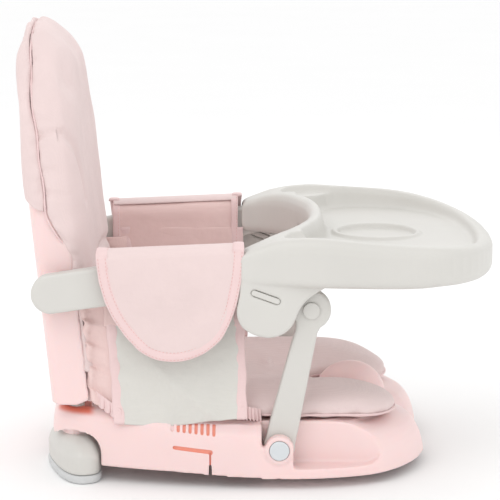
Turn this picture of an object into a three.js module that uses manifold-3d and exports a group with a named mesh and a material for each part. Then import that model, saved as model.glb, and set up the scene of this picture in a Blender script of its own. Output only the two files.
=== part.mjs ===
// Folding booster seat for the table: a moulded base on four pull-out feet, a fold-down padded
// backrest, two armrests carried by front struts, a slide-off tray, fabric side panels and a harness.
// Millimetres, +X towards the tray, +Y to the child's left, +Z up, origin on the floor below the middle.
import * as THREE from "three";
import { mergeVertices } from "three/addons/utils/BufferGeometryUtils.js";
import Module from "manifold-3d";

const wasm = await Module();
wasm.setup();

// ---- Driving dimensions -------------------------------------------------------------------------
const GAP = 0.4; // clearance between neighbouring pieces
const SIMPLIFY = 0.2; // how far a face may move when flat neighbours are merged

const WALL = 4; // moulded wall
const BASE = { rim: 10, rimRear: 16, top: 59, topRear: 68, topFront: 51, frontFlare: 25 };
const POMMEL = { x: 96, top: 85, halfLength: 36, halfWidth: 23 };

const FOLD_AXIS = { x: -168, z: 94 }; // backrest hinge
const ARM_AXIS = { x: -190, z: 184 }; // armrest on the backrest
const STRUT_FOOT = { x: 22.5, z: 38 }; // strut on the base
const STRUT_HEAD = { x: 52, z: 169 }; // strut under the armrest

const STRUT_Y = [139, 152.7]; // inner and outer face, from the middle plane
const POCKET = { inner: 138.2, floor: 19.5, rear: 6, front: 103, radius: 19 };
const ARM_Y = [138.4, 154];
const SKIRT_Y = [155.8, 164.5];
const LUG_Y = [128.5, 138];

const BACK = { rear: -193, depth: 36, lean: 0.105, foot: 74, shoulder: 290, top: 424 };
const COVER = { seam: -172, front: -147, hem: 262, thick: 3.2 };
const CUSHION = { thick: 11, extra: 9.5 }; // thicker at the outer sides of the lobes

const TRAY = { bottom: 193.5, top: 228.5, floor: 215.5, wall: 4 };
const CUP = { x: 121, radius: 39, depth: 2.2 };
const REAR_FOOT = {
  x: -175, y: 96, long: 54, wide: 20.5, turn: 18, power: 2.6, sole: 8, top: 25, dome: 11, shaft: 0.42,
};
const FRONT_FOOT = { x: 104, y: 92, radius: 17, sole: 6, top: 13 };

const PINK = 0xf6cfcb;
const FABRIC_PINK = 0xecd0cc;
const GREY = 0xd9d6d0;
const CREAM = 0xe3ded5;
const WHITE = 0xe9e7e2;
const STEEL = 0xc9d2d3;

// ---- Small helpers ------------------------------------------------------------------------------
const radians = THREE.MathUtils.degToRad;
const { smoothstep, lerp } = THREE.MathUtils;

// A closed geometry as a manifold solid, turned to face outwards.
function solidOf(geometry) {
  const plain = geometry.index ? geometry.toNonIndexed() : geometry.clone();
  for (const name of Object.keys(plain.attributes)) {
    if (name !== "position") plain.deleteAttribute(name);
  }
  const merged = mergeVertices(plain, 1e-3);
  const make = (triVerts) =>
    new wasm.Manifold(
      new wasm.Mesh({ numProp: 3, vertProperties: merged.attributes.position.array, triVerts }),
    );
  const triangles = new Uint32Array(merged.index.array);
  const solid = make(triangles);
  return solid.volume() < 0 ? make(triangles.reverse()) : solid;
}

function geometryOf(solid) {
  const mesh = solid.getMesh();
  return new THREE.BufferGeometry()
    .setAttribute("position", new THREE.BufferAttribute(new Float32Array(mesh.vertProperties), 3))
    .setIndex(new THREE.BufferAttribute(new Uint32Array(mesh.triVerts), 1));
}

const join = (...pieces) => geometryOf(pieces.map(solidOf).reduce((a, b) => a.add(b)));
const cut = (body, ...tools) =>
  geometryOf(tools.map(solidOf).reduce((a, b) => a.subtract(b), solidOf(body)));
const overlap = (a, b) => geometryOf(solidOf(a).intersect(solidOf(b)));
const mirrored = (geometry) => geometryOf(solidOf(geometry).mirror([0, 1, 0]));
const bothSides = (geometry) => [geometry, mirrored(geometry)];

// Moves every vertex of a geometry with a function of its place.
function warp(geometry, move) {
  const place = geometry.attributes.position;
  const p = new THREE.Vector3();
  for (let i = 0; i < place.count; i++) {
    move(p.fromBufferAttribute(place, i));
    place.setXYZ(i, p.x, p.y, p.z);
  }
  return geometry;
}

// Skins rings of points that hold the same number of points; fans close the two ends.
function loft(rings) {
  const n = rings[0].length;
  const points = rings.flat();
  const faces = [];
  for (let r = 0; r + 1 < rings.length; r++) {
    for (let i = 0; i < n; i++) {
      const [a, b] = [r * n + i, r * n + ((i + 1) % n)];
      faces.push(a, b, b + n, a, b + n, a + n);
    }
  }
  [0, rings.length - 1].forEach((r, end) => {
    const centre = new THREE.Vector3();
    rings[r].forEach((p) => centre.addScaledVector(p, 1 / n));
    const c = points.push(centre) - 1;
    for (let i = 0; i < n; i++) {
      const [a, b] = [r * n + i, r * n + ((i + 1) % n)];
      faces.push(...(end ? [c, a, b] : [c, b, a]));
    }
  });
  return new THREE.BufferGeometry().setFromPoints(points).setIndex(faces);
}

// A smooth closed outline through points given for one half, mirrored in the second coordinate.
function mirroredOutline(half, count) {
  const other = half.slice(1, -1).reverse().map(([a, b]) => [a, -b]);
  const points = [...half, ...other].map(([a, b]) => new THREE.Vector3(a, b, 0));
  const curve = new THREE.CatmullRomCurve3(points, true, "centripetal");
  return curve.getSpacedPoints(count).slice(0, count).map((p) => new THREE.Vector2(p.x, p.y));
}

// Outline points moved inwards by a distance that may depend on the point.
function inset(outline, distance) {
  const area = THREE.ShapeUtils.area(outline);
  return outline.map((p, i) => {
    const before = outline[(i + outline.length - 1) % outline.length];
    const after = outline[(i + 1) % outline.length];
    const along = after.clone().sub(before).normalize();
    const inwards = new THREE.Vector2(-along.y, along.x).multiplyScalar(Math.sign(area));
    return p.clone().addScaledVector(inwards, typeof distance === "number" ? distance : distance(p));
  });
}

// A shape bounded by an open smooth curve through points and the straight line that closes it.
function curvedShape(points, count) {
  const curve = new THREE.CatmullRomCurve3(
    points.map(([x, y]) => new THREE.Vector3(x, y, 0)), false, "centripetal",
  );
  return new THREE.Shape(curve.getSpacedPoints(count).map((p) => new THREE.Vector2(p.x, p.y)));
}

const level = (outline, away, z) =>
  inset(outline, away).map((p) => new THREE.Vector3(p.x, p.y, z));

// Splits a body's faces to a length before moving its vertices, so that it bends smoothly.
const bent = (geometry, length, move) =>
  warp(geometryOf(solidOf(geometry).refineToLength(length)), move);

// Extrudes a shape along +Z, its bevel kept inside the outline and the height.
function slab(shape, z0, z1, bevel = 0, segments = 2, curveSegments = 8) {
  return new THREE.ExtrudeGeometry(shape, {
    depth: z1 - z0 - 2 * bevel,
    bevelEnabled: bevel > 0,
    bevelThickness: bevel,
    bevelSize: bevel,
    bevelOffset: -bevel,
    bevelSegments: segments,
    curveSegments,
  }).translate(0, 0, z0 + bevel);
}

// A plate drawn in the X-Z plane, on the right side, between two distances from the middle plane.
function plate(shape, [inner, outer], bevel = 0, segments = 2, curveSegments = 8) {
  return slab(shape, inner, outer, bevel, segments, curveSegments).rotateX(Math.PI / 2);
}

function box(x, y, z) {
  const [[x0, x1], [y0, y1], [z0, z1]] = [x, y, z];
  return new THREE.BoxGeometry(x1 - x0, y1 - y0, z1 - z0).translate(
    (x0 + x1) / 2, (y0 + y1) / 2, (z0 + z1) / 2,
  );
}

function roundedRectangle(width, height, radius) {
  const [w, h] = [width / 2, height / 2];
  const shape = new THREE.Shape();
  shape.absarc(w - radius, h - radius, radius, 0, Math.PI / 2);
  shape.absarc(-w + radius, h - radius, radius, Math.PI / 2, Math.PI);
  shape.absarc(-w + radius, -h + radius, radius, Math.PI, 1.5 * Math.PI);
  shape.absarc(w - radius, -h + radius, radius, 1.5 * Math.PI, 2 * Math.PI);
  return shape;
}

const circle = (x, y, radius) => new THREE.Shape().absarc(x, y, radius, 0, 2 * Math.PI);

// A straight pin across the seat, on the right side.
const pin = (at, radius, [inner, outer], sides = 20) =>
  new THREE.CylinderGeometry(radius, radius, outer - inner, sides)
    .translate(at.x, -(inner + outer) / 2, at.z);

const upright = (radius, z0, z1, sides = 24) =>
  new THREE.CylinderGeometry(radius, radius, z1 - z0, sides)
    .rotateX(Math.PI / 2).translate(0, 0, (z0 + z1) / 2);

// ---- Assembly -----------------------------------------------------------------------------------
const seat = new THREE.Group();

function add(name, geometry, color, roughness = 0.5, metalness = 0) {
  const material = new THREE.MeshStandardMaterial({ color, roughness, metalness });
  const mesh = new THREE.Mesh(geometryOf(solidOf(geometry).simplify(SIMPLIFY)), material);
  mesh.name = name;
  seat.add(mesh);
  return mesh;
}

// The geometry is made for the right side; the left one is its mirror image.
function addPair(name, geometry, color, roughness, metalness) {
  add(`${name}_right`, geometry, color, roughness, metalness);
  add(`${name}_left`, mirrored(geometry), color, roughness, metalness);
}

// ---- Base ---------------------------------------------------------------------------------------
const baseOutline = mirroredOutline(
  [
    [-198, 0], [-198, 80], [-194, 110], [-177, 129], [-144, 141], [-100, 152], [-40, 161], [20, 165.5],
    [70, 162], [115, 147], [148, 112], [166, 62], [160, 20], [149, 0],
  ],
  66,
);

// Heights along the seat: the sitting surface, the rim round it, and the edge of the skirt.
const seatHeight = (x) => lerp(BASE.top, BASE.topFront, smoothstep(x, 70, 150));
const baseTop = (x) =>
  lerp(BASE.topRear, seatHeight(x), smoothstep(x, -110, -40));
const skirtEdge = (x) => lerp(BASE.rimRear, BASE.rim, smoothstep(x, -130, 30));

// How far the skirt leans in at a share of its height: nearly upright at the sides, a quarter round
// at the front, with a rounded shoulder below the top that is tighter at the rear.
const skirtInset = (share) => (p) =>
  4 * share + lerp(5, 10, smoothstep(p.x, -190, -140)) * Math.max(0, (share - 0.75) / 0.25) ** 2
  + BASE.frontFlare * smoothstep(p.x, 70, 150) * (1 - Math.sqrt(1 - share * share));

function baseRing(share, wall) {
  return inset(baseOutline, (p) => skirtInset(share)(p) + wall).map((q, i) => {
    const x = baseOutline[i].x;
    const z = lerp(skirtEdge(x), baseTop(x), share) - (share > 0.5 ? wall : 0);
    return new THREE.Vector3(q.x, q.y, z);
  });
}

function shrunk(ring, share, height, lift) {
  return ring.map((p) => {
    const x = lerp(-25, p.x, share);
    return new THREE.Vector3(x, p.y * share, height(x) - lift);
  });
}

function baseBody(wall) {
  const shares = wall ? [0, 0.5, 0.88, 1] : [0, 0.1, 0.5, 0.75, 0.88, 0.96, 1];
  const rings = shares.map((share) => baseRing(share, wall));
  const last = rings.at(-1);
  if (wall) rings.unshift(rings[0].map((p) => new THREE.Vector3(p.x, p.y, p.z - 10)));
  rings.push(shrunk(last, 0.94, baseTop, wall));
  rings.push(...[0.88, 0.55, 0.3, 0.02].map((share) => shrunk(last, share, seatHeight, wall)));
  return loft(rings);
}

// The tilted, blunt oval of a rear foot, seen from above, at a scale of its own size.
function rearFootPoints(grow, scale, count) {
  const turn = radians(REAR_FOOT.turn - 90);
  const blunt = (c) => Math.sign(c) * Math.abs(c) ** (2 / REAR_FOOT.power);
  return Array.from({ length: count }, (_, i) => {
    const angle = (2 * Math.PI * (i + 0.5)) / count;
    const along = (REAR_FOOT.long * scale + grow) * blunt(Math.cos(angle));
    const across = (REAR_FOOT.wide * scale + grow) * blunt(Math.sin(angle));
    return new THREE.Vector2(
      REAR_FOOT.x + along * Math.cos(turn) - across * Math.sin(turn),
      -REAR_FOOT.y + along * Math.sin(turn) + across * Math.cos(turn),
    );
  });
}
const rearFootShape = (grow, scale = 1, count = 28) =>
  new THREE.Shape(rearFootPoints(grow, scale, count));

// The low dome on top of a rear foot, or the room for it in the base.
const rearFootDome = (grow, foot, height) =>
  loft(
    [[1, -3], [1, 0], [0.93, 0.22], [0.8, 0.46], [0.6, 0.72], [0.35, 0.92], [0.1, 1]].map(
      ([share, rise]) => {
        const z = foot + (rise < 0 ? rise : rise * height);
        const wide = rearFootPoints(grow, 1, 28);
        return wide.map((p) => new THREE.Vector3(
          lerp(REAR_FOOT.x, p.x, share), lerp(-REAR_FOOT.y, p.y, share), z,
        ));
      },
    ),
  );

// Ventilation slits that get longer towards the front, and the L-shaped slot for the chair strap.
function sideSlots() {
  const count = 8;
  const pitch = 5.6;
  const slits = Array.from({ length: count }, (_, i) => {
    const x = -78 + i * pitch;
    return box([x - 1.4, x + 1.4], [-190, -120], [53.5 - 0.55 * i, 58.6 - 0.15 * i]);
  });
  const strapSlot = new THREE.Shape([
    new THREE.Vector2(-76, 39.7), new THREE.Vector2(-76, 36.2), new THREE.Vector2(-43.8, 32.7),
    new THREE.Vector2(-43.8, 0), new THREE.Vector2(-40.2, 0), new THREE.Vector2(-40.2, 36),
  ]);
  return [...slits, plate(strapSlot, [120, 190])];
}

// The recess beside the seat that the strut folds into, rounded at its front end.
function pocketShape() {
  const shape = new THREE.Shape();
  shape.moveTo(POCKET.rear, 120);
  shape.lineTo(POCKET.rear, POCKET.floor);
  shape.absarc(POCKET.front, POCKET.floor + POCKET.radius, POCKET.radius, -Math.PI / 2, Math.PI / 2);
  shape.lineTo(POCKET.front, 120);
  return shape;
}

// The wall outside the strut: flush with the skirt, with a round rim about the pin.
function strutCheek(outer) {
  const radius = 13.5;
  const { x, z } = STRUT_FOOT;
  const wall = new THREE.Shape();
  wall.moveTo(POCKET.rear - 2, 13);
  wall.lineTo(x + radius - 0.3, 13);
  wall.lineTo(x + radius - 0.3, z);
  wall.lineTo(x, z + radius - 0.5);
  wall.lineTo(POCKET.rear - 2, z - 1);
  const rim = new THREE.Shape();
  rim.absarc(x, z, radius, 0, 2 * Math.PI);
  const inner = STRUT_Y[1] + 1.3;
  return join(overlap(outer, plate(wall, [inner, 170])), plate(rim, [inner, 166.3], 1.2));
}

function hingeLug() {
  const radius = 9;
  const shape = new THREE.Shape();
  shape.moveTo(FOLD_AXIS.x - 14, 62);
  shape.lineTo(FOLD_AXIS.x + 12, 62);
  shape.lineTo(FOLD_AXIS.x + radius, FOLD_AXIS.z);
  shape.absarc(FOLD_AXIS.x, FOLD_AXIS.z, radius, 0, Math.PI);
  return plate(shape, [96, 106]);
}

function baseShell() {
  const outer = baseBody(0);
  const hollow = baseBody(WALL);
  const pocketLiner = overlap(outer, box([2, 175], [-170, -POCKET.inner + WALL], [12, 80]));
  const guide = overlap(outer, slab(rearFootShape(WALL, REAR_FOOT.shaft), 37, 66));
  const frontGuide = upright(9.4 + 3, 20, 54).translate(FRONT_FOOT.x, -FRONT_FOOT.y, 0);
  const pommel = new THREE.SphereGeometry(1, 22, 14)
    .scale(POMMEL.halfLength, POMMEL.halfWidth, POMMEL.top - 48).translate(POMMEL.x, 0, 48);
  const inside = overlap(pommel, box([-250, 250], [-100, 100], [52, 120]));

  const added = [pocketLiner, hingeLug()].flatMap(bothSides);
  const guides = [guide, frontGuide].flatMap(bothSides);
  const footArch = join(
    slab(rearFootShape(3), -5, REAR_FOOT.top + 3), rearFootDome(3, REAR_FOOT.top + 3, REAR_FOOT.dome),
  );
  const pocket = plate(pocketShape(), [POCKET.inner, 220]);
  const footWell = slab(rearFootShape(GAP + 0.3, REAR_FOOT.shaft), 0, 62.5);
  const frontWell = upright(9.4, 0, 50).translate(FRONT_FOOT.x, -FRONT_FOOT.y, 0);
  const removed = [footArch, pocket, ...sideSlots()].flatMap(bothSides);
  const hull = cut(join(cut(outer, hollow), inside, ...added), ...removed);
  const shell = cut(join(hull, ...guides), ...[footWell, frontWell].flatMap(bothSides));

  const pinBore = pin(STRUT_FOOT, 6 + GAP, [POCKET.inner - WALL - 2, 175]);
  const capSeat = pin(STRUT_FOOT, 9.4 + GAP, [163.8, 175], 28);
  const foldBore = pin(FOLD_AXIS, 4 + GAP, [90, 110]);
  const cheeks = bothSides(strutCheek(outer));
  return cut(join(shell, ...cheeks), ...[pinBore, capSeat, foldBore].flatMap(bothSides));
}
add("base_shell", baseShell(), PINK, 0.35);

// Pins that carry the struts, with a round cap outside.
const strutPin = join(
  pin(STRUT_FOOT, 6, [POCKET.inner - WALL - 1, 165]),
  pin(STRUT_FOOT, 9.4, [164.3, 167.3], 28),
);
addPair("strut_pin", strutPin, STEEL, 0.3);

// ---- Feet ---------------------------------------------------------------------------------------
function rearFoot() {
  const body = slab(rearFootShape(0), REAR_FOOT.sole + GAP, REAR_FOOT.top - 1, 1);
  const dome = rearFootDome(-0.3, REAR_FOOT.top - 1, REAR_FOOT.dome);
  const shaft = slab(rearFootShape(0, REAR_FOOT.shaft, 18), REAR_FOOT.top - 2, 61);
  return join(body, dome, shaft);
}
addPair("rear_foot", rearFoot(), GREY, 0.45);
addPair("rear_foot_sole", slab(rearFootShape(0.8), 0, REAR_FOOT.sole, 1.5, 1), GREY, 0.8);

const frontFoot = join(
  upright(FRONT_FOOT.radius - 1, FRONT_FOOT.sole + GAP, FRONT_FOOT.top),
  upright(9, FRONT_FOOT.top - 1, 48),
).translate(FRONT_FOOT.x, -FRONT_FOOT.y, 0);
addPair("front_foot", frontFoot, GREY, 0.45);
const frontSole = upright(FRONT_FOOT.radius, 0, FRONT_FOOT.sole)
  .translate(FRONT_FOOT.x, -FRONT_FOOT.y, 0);
addPair("front_foot_sole", frontSole, GREY, 0.8);

// ---- Seat cushion and crotch strap --------------------------------------------------------------
function seatCushion() {
  const outline = mirroredOutline(
    [
      [-130, 0], [-130, 88], [-122, 105], [-98, 115], [-62, 123], [-20, 131.5], [40, 135], [84, 131.5],
      [115, 113], [134, 76], [126, 43], [100, 30], [70, 26], [54, 12], [52, 0],
    ],
    72,
  );
  const t = CUSHION.thick;
  const flat = loft([
    level(outline, 3, 0), level(outline, 0, 3), level(outline, 0, t - 4), level(outline, 4, t),
  ]);
  return bent(flat, 12, (p) => {
    const more = CUSHION.extra * smoothstep(p.x, -90, -20) * smoothstep(Math.abs(p.y), 22, 62);
    p.z = p.z * (1 + more / t) + seatHeight(p.x) + 1.2;
  });
}
add("seat_cushion", seatCushion(), FABRIC_PINK, 0.85);

const seatTop = BASE.top + 1.4 + CUSHION.thick;
const strapSide = new THREE.Shape([
  new THREE.Vector2(-47, seatTop + GAP), new THREE.Vector2(46, seatTop + GAP),
  new THREE.Vector2(46, seatTop + 2), new THREE.Vector2(-47, seatTop + 2),
]);
add("crotch_strap", plate(strapSide, [-12.5, 12.5]), WHITE, 0.8);

const BUCKLE = { x: -36, z: seatTop + 2.6, height: 13, button: 9 };
const buckle = cut(
  slab(roundedRectangle(44, 40, 9), BUCKLE.z, BUCKLE.z + BUCKLE.height, 2.5)
    .translate(BUCKLE.x, 0, 0),
  upright(BUCKLE.button + GAP, BUCKLE.z + 5, 120).translate(BUCKLE.x, 0, 0),
  box([BUCKLE.x + 14, BUCKLE.x + 30], [-14, 14], [BUCKLE.z + 3, BUCKLE.z + 6]),
);
add("buckle_body", buckle, GREY, 0.4);
const button = upright(BUCKLE.button, BUCKLE.z + 7.6, BUCKLE.z + BUCKLE.height + 0.8)
  .translate(BUCKLE.x, 0, 0);
add("buckle_button", button, PINK, 0.4);

// ---- Backrest -----------------------------------------------------------------------------------
// Everything is built upright and then leant back about the foot of the backrest.
const leanBack = (geometry) => warp(geometry, (p) => { p.x -= BACK.lean * (p.z - 78); });
const backHalfWidth = (z) => 137 - 0.044 * (z - 72);

// Outline of the backrest seen from the front: straight flanks and a rounded top.
function backOutline(grow, foot = BACK.foot, arcPoints = 14) {
  const rise = BACK.top - BACK.shoulder;
  const half = [[foot, 1], [150, 1], [220, 1]].map(([z]) => [backHalfWidth(z) + grow, z]);
  for (let i = 0; i <= arcPoints; i++) {
    const angle = (i / arcPoints) * (Math.PI / 2);
    const across = Math.cos(angle) ** (2 / 2.3) * (backHalfWidth(BACK.shoulder) + grow);
    const up = BACK.shoulder + Math.sin(angle) ** (2 / 2.3) * (rise + grow);
    half.push([across, up]);
  }
  const other = half.slice(0, -1).reverse().map(([y, z]) => [-y, z]);
  return [...half, ...other].map(([y, z]) => new THREE.Vector2(y, z));
}

// A solid with the backrest's outline between two places along X, rounded at its rear edge.
function backSolid(grow, x0, x1, rounding = 0, foot = BACK.foot) {
  const steps = rounding ? [0, 0.3, 0.65, 1] : [1];
  const rings = steps.map((t) => {
    const away = rounding * (1 - Math.sqrt(1 - (1 - t) ** 2));
    return { x: x0 + rounding * t, away: rounding ? away : 0 };
  });
  rings.push({ x: x1, away: 0 });
  if (!rounding) rings[0].x = x0;
  return loft(
    rings.map(({ x, away }) =>
      backOutline(grow - away, foot).map((p) => new THREE.Vector3(x, p.x, Math.max(p.y, foot))),
    ),
  );
}

function backShell() {
  const rim = BACK.rear + BACK.depth;
  const outer = backSolid(0, BACK.rear, rim, 12);
  const dish = backSolid(-WALL, BACK.rear + WALL, rim + 10, 10, BACK.foot - 10);
  const ear = new THREE.Shape();
  ear.moveTo(BACK.rear + 1, FOLD_AXIS.z - 7);
  ear.lineTo(FOLD_AXIS.x + 1.7, FOLD_AXIS.z - 9);
  ear.absarc(FOLD_AXIS.x + 1.7, FOLD_AXIS.z, 9, -Math.PI / 2, Math.PI / 2);
  ear.lineTo(BACK.rear + 1, FOLD_AXIS.z + 30);
  const armBoss = new THREE.CylinderGeometry(15, 15, 12, 24)
    .translate(ARM_AXIS.x + BACK.lean * (ARM_AXIS.z - 78), -131.8, ARM_AXIS.z);
  const rib = box([BACK.rear + 1, BACK.rear + 9], [-1.5, 1.5], [100, 380]);
  const added = [plate(ear, [106.6, 114]), armBoss].flatMap(bothSides);
  const solid = leanBack(join(cut(outer, dish), rib, ...added));
  const slots = bothSides(box([-260, -170], [-64, -22], [296, 304]));
  const wedge = new THREE.Shape([
    new THREE.Vector2(-200, 60), new THREE.Vector2(-150, 60), new THREE.Vector2(-150, 82),
  ]);
  const bores = [pin(FOLD_AXIS, 4 + GAP, [100, 120]), pin(ARM_AXIS, 6 + GAP, [110, 140])];
  return cut(solid, plate(wedge, [-160, 160]), ...slots, ...bores.flatMap(bothSides));
}
add("back_shell", backShell(), PINK, 0.35);
addPair("fold_pin", pin(FOLD_AXIS, 4, [95, 117]), STEEL, 0.3);
addPair("arm_pin", pin(ARM_AXIS, 6, [120, 150]), STEEL, 0.3);

// The padded front of the cover fills the dish of the shell and wraps round its rim.
function backPad() {
  const rim = BACK.rear + BACK.depth;
  const block = backSolid(COVER.thick, COVER.seam + 0.3, COVER.front, 0, 112);
  const rimRoom = cut(
    backSolid(GAP, BACK.rear - 1, rim + GAP, 0, 60),
    backSolid(-WALL - GAP, BACK.rear - 5, rim + 5, 0, 50),
  );
  const lowFlanks = box([-250, rim + GAP], [-160, -132], [60, 236]);
  const ears = box([-250, FOLD_AXIS.x + 14], [-118, -92], [60, 135]);
  const bosses = box([-250, rim + GAP], [-138, -124], [166, 202]);
  const tools = [lowFlanks, ears, bosses].flatMap(bothSides);
  return leanBack(cut(block, rimRoom, ...tools));
}
add("back_pad", backPad(), FABRIC_PINK, 0.85);

// The rear of the cover is a pocket that slips over the top of the shell.
function backCover() {
  const outer = backSolid(COVER.thick, BACK.rear - COVER.thick, COVER.seam, 12, COVER.hem);
  const room = backSolid(GAP, BACK.rear - GAP, COVER.seam + 5, 12, COVER.hem - 10);
  return leanBack(cut(outer, room));
}
add("back_cover", backCover(), FABRIC_PINK, 0.85);

// ---- Harness on the backrest --------------------------------------------------------------------
// A flat strip on the face of the pad, between two points of the Y-Z plane.
function strip([y0, z0], [y1, z1], width, near, thick) {
  const length = Math.hypot(y1 - y0, z1 - z0);
  const flat = new THREE.BoxGeometry(thick, width, length)
    .rotateX(-Math.atan2(y1 - y0, z1 - z0))
    .translate(COVER.front + near + thick / 2, (y0 + y1) / 2, (z0 + z1) / 2);
  return leanBack(flat);
}
addPair("waist_strap", strip([-117, 172], [-117, 129], 22, 0.6, 1.6), WHITE, 0.8);
addPair("buckle_tongue", strip([-117, 146], [-117, 124], 27, 2.7, 3.4), GREY, 0.4);

// ---- Armrests -----------------------------------------------------------------------------------
function armShape() {
  const radius = 18.5;
  const shape = new THREE.Shape();
  shape.absarc(ARM_AXIS.x, ARM_AXIS.z, radius, radians(100), radians(280));
  shape.quadraticCurveTo(-150, 172, -80, 180);
  shape.lineTo(-17, 186);
  shape.lineTo(2, 191.5);
  shape.lineTo(58, 191.5);
  shape.lineTo(58, 219.5);
  shape.lineTo(2, 219);
  shape.lineTo(-16, 218.5);
  shape.quadraticCurveTo(-100, 214, -149, 209);
  return shape;
}

function arm() {
  const bar = plate(armShape(), ARM_Y, 2.5, 2, 10);
  const lug = new THREE.Shape();
  lug.moveTo(16, 192.6);
  lug.absarc(STRUT_HEAD.x, STRUT_HEAD.z, 15, radians(195), radians(350));
  lug.lineTo(61, 186);
  lug.lineTo(61, 192.6);
  const shelf = box([16, 61], [-ARM_Y[1], -LUG_Y[0] - 0.5], [188.4, 192.6]);
  const root = box([16, 56], [-152, -141], [190, 200]);
  return cut(join(bar, plate(lug, LUG_Y, 0.8), shelf, root), pin(ARM_AXIS, 6 + GAP, [130, 150.6]));
}
addPair("arm", arm(), GREY, 0.42);

// ---- Struts -------------------------------------------------------------------------------------
function strut() {
  const along = Math.atan2(STRUT_HEAD.z - STRUT_FOOT.z, STRUT_HEAD.x - STRUT_FOOT.x);
  const length = Math.hypot(STRUT_HEAD.z - STRUT_FOOT.z, STRUT_HEAD.x - STRUT_FOOT.x);
  const [foot, head, waistFoot, waistHead] = [15, 18.5, 13.8, 10.4];
  const shape = new THREE.Shape();
  shape.absarc(0, 0, foot, radians(70), radians(290));
  shape.lineTo(22, -waistFoot);
  shape.lineTo(length - 20, -waistHead);
  shape.absarc(length, 0, head, radians(-140), radians(140));
  shape.lineTo(length - 20, waistHead);
  shape.lineTo(22, waistFoot);
  const bar = plate(shape, STRUT_Y, 2, 2, 12).rotateY(-along)
    .translate(STRUT_FOOT.x, 0, STRUT_FOOT.z);
  return cut(bar, pin(STRUT_FOOT, 6 + GAP, [130, 160]), pin(STRUT_HEAD, 5 + GAP, [130, 160]));
}
addPair("strut", strut(), GREY, 0.42);
const headPin = join(pin(STRUT_HEAD, 5, [STRUT_Y[0] + 0.5, 154]), pin(STRUT_HEAD, 8, [153.1, 155], 28));
addPair("strut_head_pin", headPin, STEEL, 0.3);

// ---- Tray ---------------------------------------------------------------------------------------
// The plate that hangs from the tray's side over the armrest, with a latch pill in it.
const skirtShape = curvedShape(
  [
    [-13.6, 203], [-15, 186], [-17.5, 168], [-12.5, 155.5], [-1, 148], [13, 145.3], [27, 149.5], [35, 158],
    [39.5, 169], [45.5, 179], [56, 187.5], [66, 194], [68, 203],
  ],
  30,
);

const LATCH = { x: 9.5, z: 184, length: 28, height: 5.6, turn: -20 };
const latchShape = (grow) =>
  roundedRectangle(LATCH.length + 2 * grow, LATCH.height + 2 * grow, LATCH.height / 2 + grow - 0.05);
const latchPlate = (grow, depth, bevel) =>
  plate(latchShape(grow), depth, bevel, 1, 5)
    .rotateY(radians(-LATCH.turn)).translate(LATCH.x, 0, LATCH.z);

// How far the rim rises and falls along the tray: highest over the front of the armrests.
const rimLift = new THREE.CatmullRomCurve3(
  [
    [-14, -4.5], [16, 6.5], [32, 9.5], [58, 11], [86, 9], [112, 7], [142, 5], [167, 2.5],
    [192, -1.5], [215, -6.5], [234, -11.5],
  ].map(([x, z]) => new THREE.Vector3(x, z, 0)), false, "centripetal",
).getPoints(120);

function trayLift(p) {
  const next = Math.max(1, rimLift.findIndex((q) => q.x >= Math.min(p.x, 233.9)));
  const [a, b] = [rimLift[next - 1], rimLift[next]];
  const crest = lerp(a.y, b.y, (p.x - a.x) / (b.x - a.x));
  const height = THREE.MathUtils.clamp((p.z - TRAY.floor) / (TRAY.top - TRAY.floor), 0, 1);
  return crest * height - 0.07 * Math.max(0, p.x - 171) * (1 - height);
}

const trayFront = (count) =>
  Array.from({ length: count }, (_, i) => {
    const angle = (Math.PI / 2) * (1 - (i + 1) / count);
    const power = 2 / 2.35;
    return [110 + 124 * Math.cos(angle) ** power, 184.5 * Math.sin(angle) ** power];
  });

// Plan of the tray: outer edge round the front, then the cut-out for the child's waist.
function trayPlan() {
  const outer = [[-14, 165], [25, 169], [66, 177], ...trayFront(6)];
  const belly = [[52, 0], [50, 36], [42, 68], [26, 104], [6, 124], [-14, 133]];
  const side = (points) =>
    new THREE.CatmullRomCurve3(
      points.map(([x, y]) => new THREE.Vector3(x, y, 0)), false, "centripetal",
    ).getSpacedPoints(26).map((p) => [p.x, p.y]);
  const half = [...side(belly), ...side([...outer])];
  const other = half.slice(1, -1).reverse().map(([x, y]) => [x, -y]);
  return [...half, ...other].map(([x, y]) => new THREE.Vector2(x, y)).reverse();
}

const wellOutline = mirroredOutline(
  [
    [66, 0], [64.5, 38], [57, 74], [46, 102], [44, 116], [50, 127], [64, 136], [72, 152], [88, 164],
    [112, 168.5], [150, 160], [186, 132],
    [208, 95], [217, 50], [220, 0],
  ],
  72,
);
// The well's shallow corners, over the channels for the armrests.
const ledgeShape = [
  [33, 126], [28, 140], [34, 153], [56, 158], [80, 161], [88, 148], [70, 128], [48, 119],
];

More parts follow.
